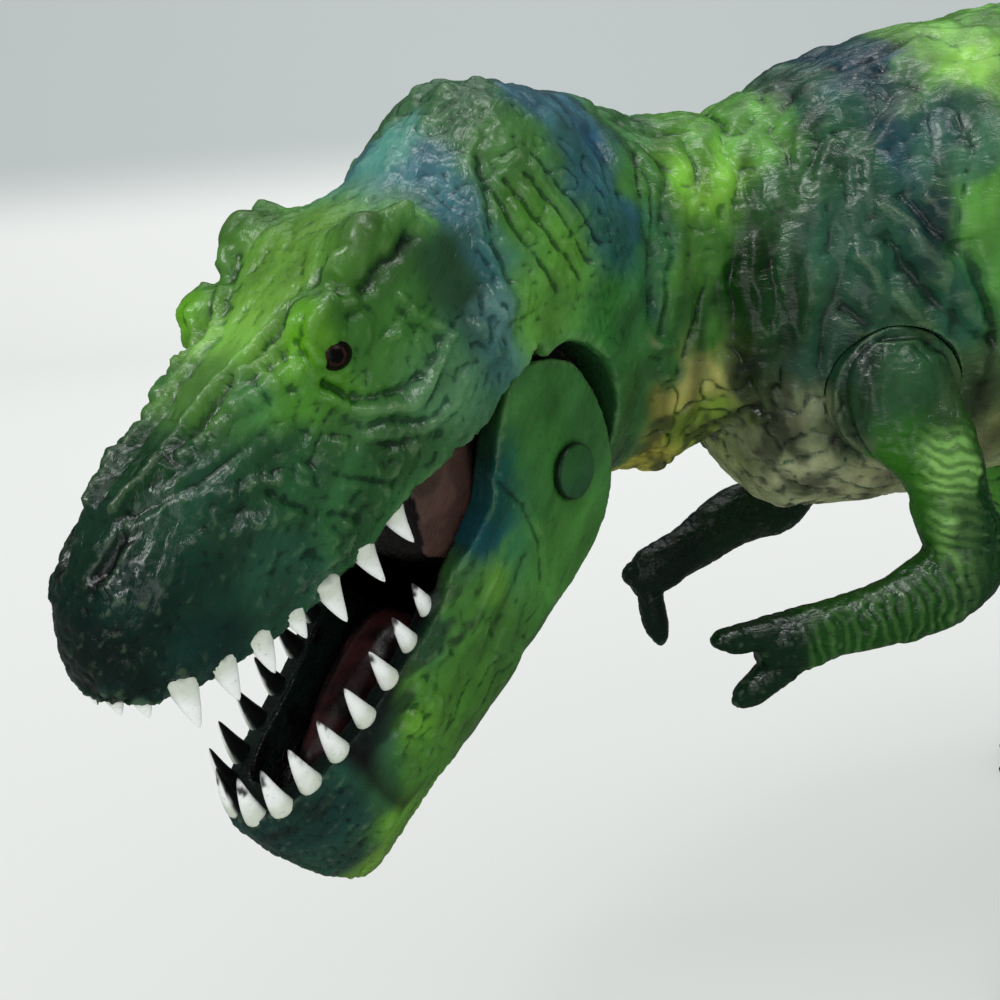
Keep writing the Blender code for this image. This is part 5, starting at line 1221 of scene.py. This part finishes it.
def torsoControl(count):
    rows = np.array(torsoRows)
    along, sideways, width, height, rise, drop, turn, pitch = rows.T
    chest, back = figure["chestWidth"], figure["backHeight"]
    centres = np.column_stack([sideways * chest, figure["tailSeam"] - along * figure["torsoLength"],
                               height * back])
    z, x = np.radians(turn * figure["turn"]), np.radians(pitch * figure["pitch"])
    sides = np.column_stack([np.cos(z), np.sin(z), 0 * z])
    ups = np.column_stack([np.sin(z) * np.sin(x), -np.cos(z) * np.sin(x), np.cos(x)])
    rings = sections(centres, sides, ups, width * chest, rise * back, drop * back, torso["squareness"],
                     torso["squareness"], count)
    return np.concatenate([rings, inBody(skullRings(np.array(skullRows[-1:]), count))]), np.append(along, 1.0)


def inBody(rings):
    # From the head's frame to the part's own before the shift
    turn = np.array(bodyFrame.inverted() @ headFrame)
    return rings @ turn[:3, :3].T + turn[:3, 3]


def makeTorso():
    rings, along = torsoControl(torso["around"])
    last = len(rings) - 1
    places = np.concatenate([np.linspace(0, 5, torso["rearRows"], endpoint=False),
                             np.linspace(5, last, torso["frontRows"])])
    rings = alongRows(rings, places)
    rings = swell(rings, np.interp(places, np.arange(last + 1), along), torsoSwellings, figure["chestWidth"])
    # The neck runs on under the skull's rim with the skull's own shape, and both wear the same relief there
    rim = inBody(skullRings(alongRows(skullRows, np.linspace(16, 15.7, 6)[1:]), torso["around"]))
    item = newObject("body_skin", skin(np.concatenate([rings, rim])))
    item.data.transform(bodyFrame)
    here = torsoPlaces(item)
    outward = normalsOf(item)
    height = strokes(bent(here, 5.0, 0.9), torsoStrokes) + 0.35 * layers(here, 9.0, 2, 84) + bodyTexture(here)
    atHead = mirroredLeft(headPlaces(item, headFrame))
    height += (texturedHead(atHead) * guard(atHead) - height) * nearHead(atHead)
    height -= 0.35 * ramp(atHead[:, 0], -13.3, -12.6)
    height[:torso["around"]] = 0
    pushOut(item, outward, height)
    pockets = []
    for name, side in (("left_shoulder", 1), ("right_shoulder", -1)):
        centre = np.array(joints[name]["pos_m"])
        pockets.append(lathe([(0.0, arm["room"]), (side * 0.014, arm["room"])], 128, centre))
        pockets.append(lathe([(-side * 0.0063, 0.0033), (side * 0.001, 0.0033)], 48, centre))
    carve(item, pockets)
    item.data.shade_smooth()
    item.data.set_sharp_from_angle(angle=math.radians(55))
    here = torsoPlaces(item)
    y, z = here[:, 1], here[:, 2]
    colours = bodyPaint(here)
    # painted shade: blotchy dark olive low on the chest around the shoulder, under the throat
    chestShade = ramp(layers(here, 3.4, 3, 85), 0.1, 0.6) * ramp(89 - z, 0, 4) * ramp(-y, 58, 74)
    colours = mixed(colours, (26, 34, 20), 0.75 * chestShade)
    # pale beige along the ridge of the lip under the head: the throat's cream paint, lightened as painted
    # highlight
    colours = mixed(colours, (142, 128, 90), 0.75 * np.clip(strokes(here, (
        (1.0, 0.55, ((12.9, -102.4, 93.6), (12.4, -100.6, 91.6), (11.0, -97.8, 89.2))),)), 0, 1))
    atHead = mirroredLeft(headPlaces(item, headFrame))
    skull = airbrushed(atHead, headPatches, 1.6) * tone(atHead, skullFlow, 2.5)
    colours += (skull - colours) * nearHead(atHead)[:, None]
    setPaint(item, colours, flow=bodyFlow(here), relief=relief(item, 0.05, 3))
    place(item)
    finishPiece(item, "figure", neckSkin, ("torso",))
    print("body", len(item.data.polygons) * 2, "triangles")


def torsoPlaces(item):
    # Places mirrored to the left side
    here = pointsOf(item) / mm
    here[:, 0] = np.abs(here[:, 0] - torso["middleX"]) + torso["middleX"]
    return here


def nearHead(atHead):
    return ramp(atHead[:, 0], -18.5, -14.6)


neckFlow = (0.05, 0.12, 1.0)


def bodyTexture(here):
    # Folds that run down the neck with fine wrinkles across them, a net over the hips, and crumpled skin on
    # the throat and chest
    x, y, z = here.T
    neck = ramp(-y, 56, 72)
    low = 1 - ramp(z + 0.9 * np.maximum(x - 10, 0), 82, 88)
    wandering = bent(here, 6.0, 1.2)
    columns = creased(stretched(wandering, neckFlow, 7), 5.2, 82)
    soft = layers(stretched(wandering, neckFlow, 6), 5.0, 2, 92)
    narrow = creased(stretched(wandering, (0.05, 0.10, 1.0), 4), 2.0, 86)
    across = creased(stretched(bent(here, 4.0, 0.8), (0.35, 1.0, 0.0), 3.5), 1.7, 88)
    across *= ramp(layers(here, 7.0, 2, 89), -0.5, 0.4)
    net = creased(wandering, 3.4, 81)
    crumple = creased(bent(here, 4.0, 1.4), 3.0, 83)
    height = neck * (1 - low) * (1.05 * columns + 0.24 * narrow + 0.30 * across + 0.5 * soft)
    height += (1 - neck) * (0.26 * net + 0.55 * columns + 0.24 * across + 0.3 * soft)
    height += neck * low * 0.85 * crumple
    return height * (1 - 0.65 * spot(here, (17.0, -68.83, 80.5), 12.0))


def bodyFlow(here):
    # Fine wrinkles that run round the neck, across the folds
    return stretched(bent(here, 5.0, 1.0), (0.35, 1.0, 0.0), 3.2)


def bodyPaint(here):
    return airbrushed(here, torsoPatches, 2.2, 2.5) * tone(here, neckFlow, 5, 0.50)


# Tail

tail = {"length": 0.150, "sway": 0.034, "around": 160, "rows": 260}
tailRows = (
    (0.0, 1.0, 1.0, 0.0, 0.0), (0.07, 0.95, 0.94, 0.006, 0.00), (0.18, 0.84, 0.84, 0.026, 0.02),
    (0.31, 0.70, 0.72, 0.060, 0.07), (0.44, 0.57, 0.60, 0.094, 0.16), (0.57, 0.45, 0.48, 0.120, 0.30),
    (0.70, 0.34, 0.36, 0.134, 0.47), (0.81, 0.24, 0.26, 0.134, 0.64), (0.90, 0.16, 0.17, 0.124, 0.80),
    (0.965, 0.09, 0.095, 0.112, 0.93), (1.00, 0.03, 0.03, 0.104, 1.00),
)


def makeTail():
    root = torsoControl(tail["around"])[0][0]
    root = swell(root[None], [0.0], torsoSwellings, figure["chestWidth"])[0]
    centre = root.mean(axis=0)
    halfWidth, halfHeight = root[:, 0].max() - centre[0], root[:, 2].max() - centre[2]
    along, width, height, sink, sway = alongRows(tailRows, np.linspace(0, len(tailRows) - 1, tail["rows"])).T
    centres = centre + np.column_stack([-sway * tail["sway"], along * tail["length"] + 0.0003,
                                        -sink * figure["backHeight"]])
    rings = sections(centres, axisX, axisZ, width * halfWidth, height * halfHeight, height * halfHeight,
                     torso["squareness"], torso["squareness"], tail["around"])
    item = newObject("tail_skin", skin(rings))
    item.data.transform(bodyFrame)
    here = pointsOf(item) / mm
    outward = normalsOf(item)
    share = np.concatenate([np.repeat(along, tail["around"]), [0.0, 1.0]])
    net = creased(bent(here, 4.0, 1.0), 3.2, 91)
    bands = creased(stretched(here, (1, 0, 1), 3), 2.2, 92)
    height = (0.60 * net + 0.40 * bands + 0.3 * layers(here, 9.0, 2, 93)) * (1 - 0.75 * share)
    height *= ramp(share, 0, 0.03)
    pushOut(item, outward, height)
    top = ramp(outward[:, 2] + 0.2 * layers(here, 6.0, 2, 94), -0.3, 0.7)
    stripe = ramp(np.sin(here[:, 1] / 7.5 + layers(here, 10.0, 2, 95) * 1.5), 0.2, 0.8) * top
    colours = mixed(np.tile(linear((120, 140, 78)), (len(here), 1)), (62, 118, 44), top)
    colours = mixed(colours, (30, 72, 70), 0.8 * stripe)
    # The body's paint runs on over the seam
    near = torsoPlaces(item)
    fade = 1 - ramp(share + 0.06 * layers(here, 8.0, 2, 96), 0.03, 0.32)
    colours += (bodyPaint(near) - colours) * fade[:, None]
    setPaint(item, colours, flow=stretched(here, (1, 0, 1), 2.5), relief=relief(item, 0.05))
    place(item)
    finishPiece(item, "figure", limbSkin, ("tail",))


# Legs

leg = {
    "hip": (0.0165, -0.012, 0.101), "seat": 0.011, "splay": (0.0100, 0.0200), "stride": 0.0160,
    "depth": 0.0185, "width": 0.0098, "toe": 0.021, "toeRadius": 0.0046, "dip": 0.0008, "voxel": 0.00045,
}
legRows = (
    (-0.010, 1.175, -0.10, 0.30, 0.30, 0.00), (0.000, 1.150, -0.05, 0.66, 0.62, 0.00),
    (0.000, 1.080, 0.00, 0.92, 0.88, 0.00), (0.005, 0.980, 0.08, 1.04, 1.00, 0.02),
    (0.040, 0.870, 0.22, 1.02, 1.04, 0.06), (0.095, 0.760, 0.44, 0.88, 1.00, 0.12),
    (0.150, 0.665, 0.66, 0.68, 0.88, 0.19), (0.165, 0.590, 0.80, 0.56, 0.76, 0.25),
    (0.120, 0.510, 0.88, 0.51, 0.68, 0.33), (0.055, 0.430, 0.94, 0.43, 0.58, 0.44),
    (-0.010, 0.350, 0.98, 0.34, 0.50, 0.57), (-0.035, 0.280, 1.00, 0.295, 0.46, 0.70),
    (-0.015, 0.210, 1.00, 0.28, 0.46, 0.82), (0.025, 0.135, 1.00, 0.30, 0.52, 0.93),
    (0.065, 0.070, 1.00, 0.31, 0.62, 1.00), (0.095, 0.030, 1.00, 0.20, 0.60, 1.02),
)
toeRows = (
    (-0.10, 1.05, 0.70, 0.90), (0.12, 1.05, 1.00, 1.08), (0.34, 0.86, 0.88, 0.90), (0.52, 0.90, 0.98, 0.98),
    (0.70, 0.72, 0.78, 0.76), (0.80, 0.74, 0.56, 0.60), (0.92, 0.46, 0.34, 0.40), (1.04, 0.20, 0.14, 0.18),
)
toes = ((-26, 0.86), (0, 1.00), (27, 0.88))


def toeSkin(start, lean, length):
    heading = np.array([math.sin(lean), -math.cos(lean), 0.0])
    side = np.array([math.cos(lean), math.sin(lean), 0.0])
    along, height, width, rise = evenly(toeRows, 5).T
    centres = start + along[:, None] * heading * length
    centres[:, 2] += height * leg["toeRadius"] - leg["dip"]
    return skin(limbRings(centres, side, rise * leg["toeRadius"], width * leg["toeRadius"], 32,
                          torso["squareness"]))


legPatches = (
    # place as (y, z) metres before the shift, radius in millimetres, colour
    ((-0.012, 0.11), 12, (74, 138, 46)), ((-0.030, 0.085), 12, (54, 108, 52)),
    ((0.004, 0.085), 10, (40, 84, 72)), ((-0.024, 0.058), 9, (70, 134, 40)),
    ((-0.010, 0.035), 9, (46, 98, 54)), ((-0.016, 0.010), 9, (34, 74, 52)),
)


def makeLeg(name, side, node):
    hipX, hipY, hipZ = leg["hip"]
    reach = leg["splay"][0] if side > 0 else leg["splay"][1]
    forward, height, splay, depth, width, stride = evenly(legRows, 8).T
    centres = np.column_stack([side * (hipX + splay * reach),
                               hipY - forward * hipZ - side * stride * leg["stride"], height * hipZ])
    rings = limbRings(centres, np.array([side, 0.0, 0.0]), depth * leg["depth"], width * leg["width"], 64,
                      torso["squareness"])
    item = newObject(name, skin(rings))
    span = 2 * hipZ
    box = [(-span, -span), (span, -span), (span, span), (-span, span)]
    carve(item, [prism(box, side * leg["seat"], side * span)], "INTERSECT")
    foot = evenly(legRows, 1)[-2]
    ball = np.array([side * (hipX + foot[2] * reach),
                     hipY - foot[0] * hipZ - side * foot[5] * leg["stride"], 0])
    parts = [toeSkin(ball, math.radians(lean) * side, share * leg["toe"]) for lean, share in toes]
    parts.append(toeSkin(ball, math.pi - side * math.radians(40), leg["toe"] / 2))
    carve(item, parts, "UNION")
    ground = [(-span, -0.05), (span, -0.05), (span, 0), (-span, 0)]
    carve(item, [prism(ground, -span, span)])
    remesh(item, leg["voxel"])
    relax(item, 3)
    item.data.transform(bodyFrame)
    here = pointsOf(item) / mm
    outward = normalsOf(item)
    net = creased(bent(here, 4.0, 1.0), 3.2, 101)
    fine = creased(stretched(here, (0, 1, 0), 2), 1.9, 102)
    near, second, _ = pebbles(here, 1.7, 103)
    low = 1 - ramp(here[:, 2], 14, 34)
    scales = ramp(second - near, 0.02, 0.42) - 0.55
    height = (1 - low) * 0.65 * net + 0.26 * fine + low * 0.30 * scales
    height += 0.4 * layers(here, 9.0, 2, 104) * (1 - low)
    height *= ramp(here[:, 2], 0.3, 2.0) * ramp(np.abs(pointsOf(item)[:, 0] - shift.x), 0.0112, 0.0130)
    pushOut(item, outward, height)
    patches = [(np.array(bodyFrame @ Vector((side * 0.026, *where))) / mm, radius, colour)
               for where, radius, colour in legPatches]
    colours = airbrushed(here, patches, 2.5)
    claw = ramp(np.linalg.norm((here[:, :2] * mm - (ball[:2] + np.array(shift)[:2])), axis=1), 0.0176, 0.0190)
    colours = mixed(colours, (22, 26, 22), 0.85 * claw * (here[:, 2] < 6))
    setPaint(item, colours, flow=stretched(here, (0, 1, 0), 2.5), relief=relief(item, 0.06))
    place(item)
    finishPiece(item, "figure", limbSkin, (node,))


# Arms

arm = {
    "green": (18, 68, 12), "shadedFarGreen": (4, 34, 12), "reach": 0.0325, "drop": 0.0350, "radius": 0.0082,
    "voxel": 0.00027, "peg": 0.0032, "pegLength": 0.006, "hub": 0.42, "root": 0.42,
    "room": 0.00833,
}
leftArm = (
    (0.02, -0.19, 0.36, 0.40, 0.28), (0.02, -0.10, 0.44, 0.74, 0.36), (-0.02, 0.06, 0.56, 0.80, 0.42),
    (-0.108, 0.214, 0.70, 0.64, 0.46), (-0.175, 0.414, 0.68, 0.58, 0.48), (-0.215, 0.555, 0.70, 0.62, 0.50),
    (-0.160, 0.665, 0.70, 0.63, 0.48), (-0.015, 0.740, 0.66, 0.575, 0.46), (0.142, 0.783, 0.58, 0.490, 0.42),
    (0.292, 0.811, 0.50, 0.455, 0.40), (0.422, 0.840, 0.44, 0.490, 0.38), (0.523, 0.856, 0.42, 0.420, 0.32),
    (0.590, 0.862, 0.40, 0.260, 0.20),
)
rightArm = (
    (0.02, -0.19, 0.36, 0.40, 0.28), (0.02, -0.10, 0.44, 0.74, 0.36), (0.00, 0.06, 0.56, 0.80, 0.42),
    (-0.04, 0.26, 0.70, 0.64, 0.46), (-0.06, 0.44, 0.70, 0.60, 0.48), (-0.05, 0.565, 0.70, 0.62, 0.50),
    (0.015, 0.655, 0.70, 0.62, 0.48), (0.120, 0.690, 0.66, 0.60, 0.46), (0.255, 0.728, 0.60, 0.57, 0.42),
    (0.385, 0.777, 0.54, 0.52, 0.40), (0.508, 0.834, 0.48, 0.47, 0.38), (0.630, 0.891, 0.44, 0.49, 0.36),
    (0.723, 0.934, 0.42, 0.40, 0.30), (0.785, 0.960, 0.40, 0.22, 0.18),
)
leftFingers = ((0.431, 0.760, 0.797, 0.814, 0.46), (0.431, 0.677, 0.894, 1.071, 0.34))
rightFingers = ((0.620, 0.820, 0.880, 0.930, 0.46), (0.700, 0.645, 0.950, 1.250, 0.34))
fingerRows = ((-0.05, 0.240), (0.20, 0.265), (0.50, 0.255), (0.72, 0.240), (0.90, 0.165), (1.00, 0.060))


def makeArm(name, side, joint, table, fingers, node):
    unit = np.array([side * arm["radius"], -arm["reach"], -arm["drop"]])
    size = arm["radius"]
    across = np.array([side, 0.0, 0.0])
    reach, drop, outwards, depth, width = evenly(table, 6).T
    centres = np.column_stack([outwards, reach, drop]) * unit
    item = newObject(name, skin(limbRings(centres, across, depth * size, width * size, 48)))
    parts = [lathe([(side * 0.0003, size), (side * size * arm["hub"], size)]),
             lathe([(-side * arm["pegLength"], arm["peg"]), (side * size * arm["hub"] / 2, arm["peg"])])]
    for startReach, endReach, startDrop, endDrop, tip in fingers:
        start = np.array([arm["root"], startReach, startDrop]) * unit
        end = np.array([tip, endReach, endDrop]) * unit
        along, radius = evenly(fingerRows, 4).T
        line = start + along[:, None] * (end - start)
        parts.append(skin(limbRings(line, across, radius * size, radius * size, 24)))
    carve(item, parts, "UNION")
    remesh(item, arm["voxel"])
    relax(item, 2)
    local = pointsOf(item) / mm
    outward = normalsOf(item)
    x, y, z = local.T
    elbow = unit * (0.7, -0.20, 0.58) / mm
    world = local + np.array(joints[joint]["pos_m"]) / mm
    world[:, 0] = np.abs(world[:, 0] - torso["middleX"]) + torso["middleX"]
    face = ramp(outward[:, 0] * side, 0.2, 0.8)
    # The skin of the chest goes on over the shoulder, and the arm's own wrinkles start below it
    crown = ramp(z - 0.2 * y + 1.6 * layers(local, 4.0, 3, 110), -6.5, 0.5)
    crown = np.maximum(crown, ramp(-y + 0.5 * layers(local, 2.0, 2, 118), 3.6, 5.2) * ramp(z, -9.5, -7.0))
    upper = ramp(z, elbow[2] - 2, elbow[2] + 4)
    turning = ramp(np.hypot(y, z), 7.6, 9.0)
    along = np.where(upper > 0.5, z + 0.35 * y, y + 0.2 * z)
    waves = np.sin(along * 2 * np.pi / 1.5 + 4.0 * layers(local, 3.0, 2, 111))
    ribbed = ramp(layers(local, 5.0, 2, 112), -0.3, 0.4) * face
    flow = (0.1, 1.0, 0.25) if side > 0 else (0, 1, 0)
    wrinkled = creased(stretched(bent(local, 3.0, 0.6), flow, 3.5), 1.5, 119)
    fine = creased(local, 1.6, 113)
    hand = ramp(-y, 12, 16) * ramp(-z, 22, 25)
    height = (0.07 * waves + 0.30 * wrinkled * upper) * ribbed * (1 - hand) + 0.20 * fine
    height += 0.34 * layers(local, 4.0, 2, 114)
    height = height * (1 - crown) * np.maximum(turning, face) + (bodyTexture(world) - 0.1) * crown * face
    pushOut(item, outward, height * ramp(x * side, 1.0, 2.4))
    wander = layers(local, 3.0, 2, 116)
    # painted shade: the far arm takes a darker copy of the near arm's green
    colours = np.tile(linear(arm["green"] if side > 0 else arm["shadedFarGreen"]), (len(local), 1))
    if side > 0:
        lime = ramp(z, elbow[2] + 1, elbow[2] + 6) * ramp(-y + wander, -3.5, 0.5)
        colours = mixed(colours, (38, 98, 4), lime)
        # pale paint on the arm's outer face, lighter on the rib crests as painted highlight
        paleSheen = face * ramp(y + 0.2 * z + wander, -2.2, 1.2) * ramp(-z, 2, 6) * (1 - ramp(y + wander, 6.0, 8.0))
        colours = mixed(colours, (132, 184, 92), 0.9 * paleSheen * (0.4 + 0.6 * ramp(waves, -0.6, 0.6)))
        # painted highlight: the forearm's rib crests on its outer face are lightened
        colours = mixed(colours, (84, 128, 60), 0.3 * (1 - upper) * face * ramp(waves, -0.2, 0.8))
    darkHand = ramp(-y + 1.5 * wander, 11.5, 15.5) * ramp(-z, 20, 23)
    # painted shade: the far hand is darker than the near one
    colours = mixed(colours, (2, 38, 16) if side > 0 else (0, 26, 16), darkHand)
    back = ramp(y + 1.2 * layers(local, 3.0, 2, 117), 3.0, 5.5) * ramp(-z, 8, 14)
    colours = mixed(colours, (14, 54, 24), 0.8 * back)
    # painted shade: on the far arm the chest's paint is halved
    colours += (bodyPaint(world) * (1 if side > 0 else 0.5) - colours) * crown[:, None]
    setPaint(item, colours, flow=bodyFlow(world), relief=relief(item, 0.035))
    place(item, Matrix.Translation(Vector(joints[joint]["pos_m"])))
    finishPiece(item, joints[joint]["child"], limbSkin, (node,))


makeTorso()
print("body made")
makeTail()
makeLeg("left_leg_skin", 1, "left_leg")
makeLeg("right_leg_skin", -1, "right_leg")
print("tail and legs made")
makeArm("left_arm_skin", 1, "left_shoulder", leftArm, leftFingers, "left_arm")
makeArm("right_arm_skin", -1, "right_shoulder", rightArm, rightFingers, "right_arm")
print("arms made")


# Stage: a pale table that fades up into a grey wall

stage = {
    "table": (229, 231, 228), "wall": (184, 190, 190), "fade": (0.095, 0.180), "glow": 0.48,
    "size": 6.0, "columns": 9, "bend": 0.35, "ahead": 1.4, "height": 1.8, "away": 0.9, "under": 0.0002,
}


def stagePaint():
    # The height of a point on the sheet chooses its colour, pale below and grey above
    graph = Graph("stage_paper")
    height = graph.add("ShaderNodeSeparateXYZ", {}, {0: graph.objectPlace}, output=2)
    share = graph.between(height, *stage["fade"])
    low = (*linear(stage["table"]), 1)
    high = (*linear(stage["wall"]), 1)
    colour = graph.blend(share, tuple(map(float, low)), tuple(map(float, high)))
    # Gloss on the figure mirrors a darker sheet, which keeps its dark paint clear
    gloss = graph.add("ShaderNodeLightPath", output="Is Glossy Ray")
    seen = graph.blend(gloss, colour, graph.blend(1.0, colour, (0.16, 0.16, 0.16, 1), "MULTIPLY"))
    dimmed = graph.blend(1.0, seen, (0.55, 0.55, 0.55, 1), "MULTIPLY")
    return graph.surface(colour=dimmed, emission=seen, emissionStrength=stage["glow"], roughness=0.9,
                         specular=0.1)


def makeStage():
    # A sheet: flat floor, then a quarter circle up into a wall, swept sideways and turned to face the view
    bend, columns = stage["bend"], stage["columns"]
    turn = np.linspace(-90, 0, 25)
    curve = np.column_stack([bend * np.cos(np.radians(turn)), bend + bend * np.sin(np.radians(turn))])
    profile = np.vstack([[(-stage["ahead"], 0.0), (0.0, 0.0)], curve[1:], [(bend, stage["height"])]])
    across = np.linspace(-stage["size"] / 2, stage["size"] / 2, columns)
    shape = (len(profile), columns)
    grid = np.stack([np.broadcast_to(across[None, :], shape),
                     np.broadcast_to(profile[:, :1] + stage["away"], shape),
                     np.broadcast_to(profile[:, 1:], shape)], axis=-1)
    row, column = np.meshgrid(np.arange(len(profile) - 1), np.arange(columns - 1), indexing="ij")
    low = row * columns + column
    quads = np.stack([low, low + 1, low + columns + 1, low + columns], axis=-1).reshape(-1, 4)
    mesh = bpy.data.meshes.new("stage_sheet")
    mesh.from_pydata(grid.reshape(-1, 3).tolist(), [], quads.tolist())
    mesh.transform(Matrix.Rotation(math.radians(camera["azimuth"]), 4, "Z"))
    mesh.transform(Matrix.Translation((0, 0, -stage["under"])))
    mesh.shade_smooth()
    item = bpy.data.objects.new("stage_sheet", mesh)
    bpy.context.scene.collection.objects.link(item)
    mesh.materials.append(stagePaint())


camera = {"place": (0.1666, -0.1320, 0.1082), "azimuth": 83.8, "elevation": 13.3, "roll": 4.8, "lens": 46.8}


def makeCamera():
    azimuth, elevation, roll = (math.radians(camera[name]) for name in ("azimuth", "elevation", "roll"))
    forward = Vector((-math.sin(azimuth) * math.cos(elevation), math.cos(azimuth) * math.cos(elevation),
                      -math.sin(elevation)))
    right = forward.cross(Vector((0, 0, 1))).normalized()
    up = right.cross(forward)
    turn = Matrix.Rotation(roll, 3, forward)
    matrix = Matrix((turn @ right, turn @ up, -forward)).transposed().to_4x4()
    matrix.translation = Vector(camera["place"]) + shift
    data = bpy.data.cameras.new("camera")
    data.lens = camera["lens"]
    data.sensor_width = 36
    data.clip_start = 0.005
    item = bpy.data.objects.new("camera", data)
    item.matrix_world = matrix
    bpy.context.scene.collection.objects.link(item)
    bpy.context.scene.camera = item


chestPlace = (0.00, -0.09, 0.09)
lights = (
    # name, place, aim, size, watts, and whether only the gloss mirrors it
    ("key", (0.30, -0.55, 0.75), chestPlace, 0.35, 1.0, False),
    ("low", (0.45, -0.30, 0.14), chestPlace, 0.30, 0.30, False),
    ("top", (-0.10, -0.05, 1.00), chestPlace, 1.20, 1.0, False),
    ("glintFront", (0.38, -0.50, 0.60), chestPlace, 0.26, 1.5, True),
    ("glintTop", (0.10, -0.10, 1.00), chestPlace, 0.34, 2.0, True),
    ("glintRear", (0.45, 0.25, 0.75), chestPlace, 0.26, 1.2, True),
    ("wall", (-0.50, 0.00, 0.90), (-1.30, 0.10, 0.20), 0.90, 4.0, False),
)

roomLight = {"level": 0.82, "gloss": 0.08, "colour": (0.96, 0.98, 1.0, 1)}


def makeLights():
    for name, where, aim, size, power, glossOnly in lights:
        data = bpy.data.lights.new(name, "AREA")
        data.shape = "DISK"
        data.size = size
        data.energy = power
        item = bpy.data.objects.new(name, data)
        item.location = where
        item.visible_diffuse = not glossOnly
        item.rotation_euler = (Vector(aim) - Vector(where)).to_track_quat("-Z", "Y").to_euler()
        bpy.context.scene.collection.objects.link(item)
    # The room lights the object from all round, but the gloss mirrors only the lamps
    world = bpy.data.worlds.new("studio")
    world.use_nodes = True
    tree = world.node_tree
    background = tree.nodes["Background"]
    ray = tree.nodes.new("ShaderNodeLightPath")
    level = tree.nodes.new("ShaderNodeMapRange")
    level.inputs["To Min"].default_value = roomLight["level"]
    level.inputs["To Max"].default_value = roomLight["gloss"]
    tree.links.new(ray.outputs["Is Glossy Ray"], level.inputs["Value"])
    tree.links.new(level.outputs[0], background.inputs[1])
    background.inputs[0].default_value = roomLight["colour"]
    bpy.context.scene.world = world


makeCamera()
makeStage()
makeLights()
bpy.context.scene.view_settings.view_transform = "Standard"
print("stage made")
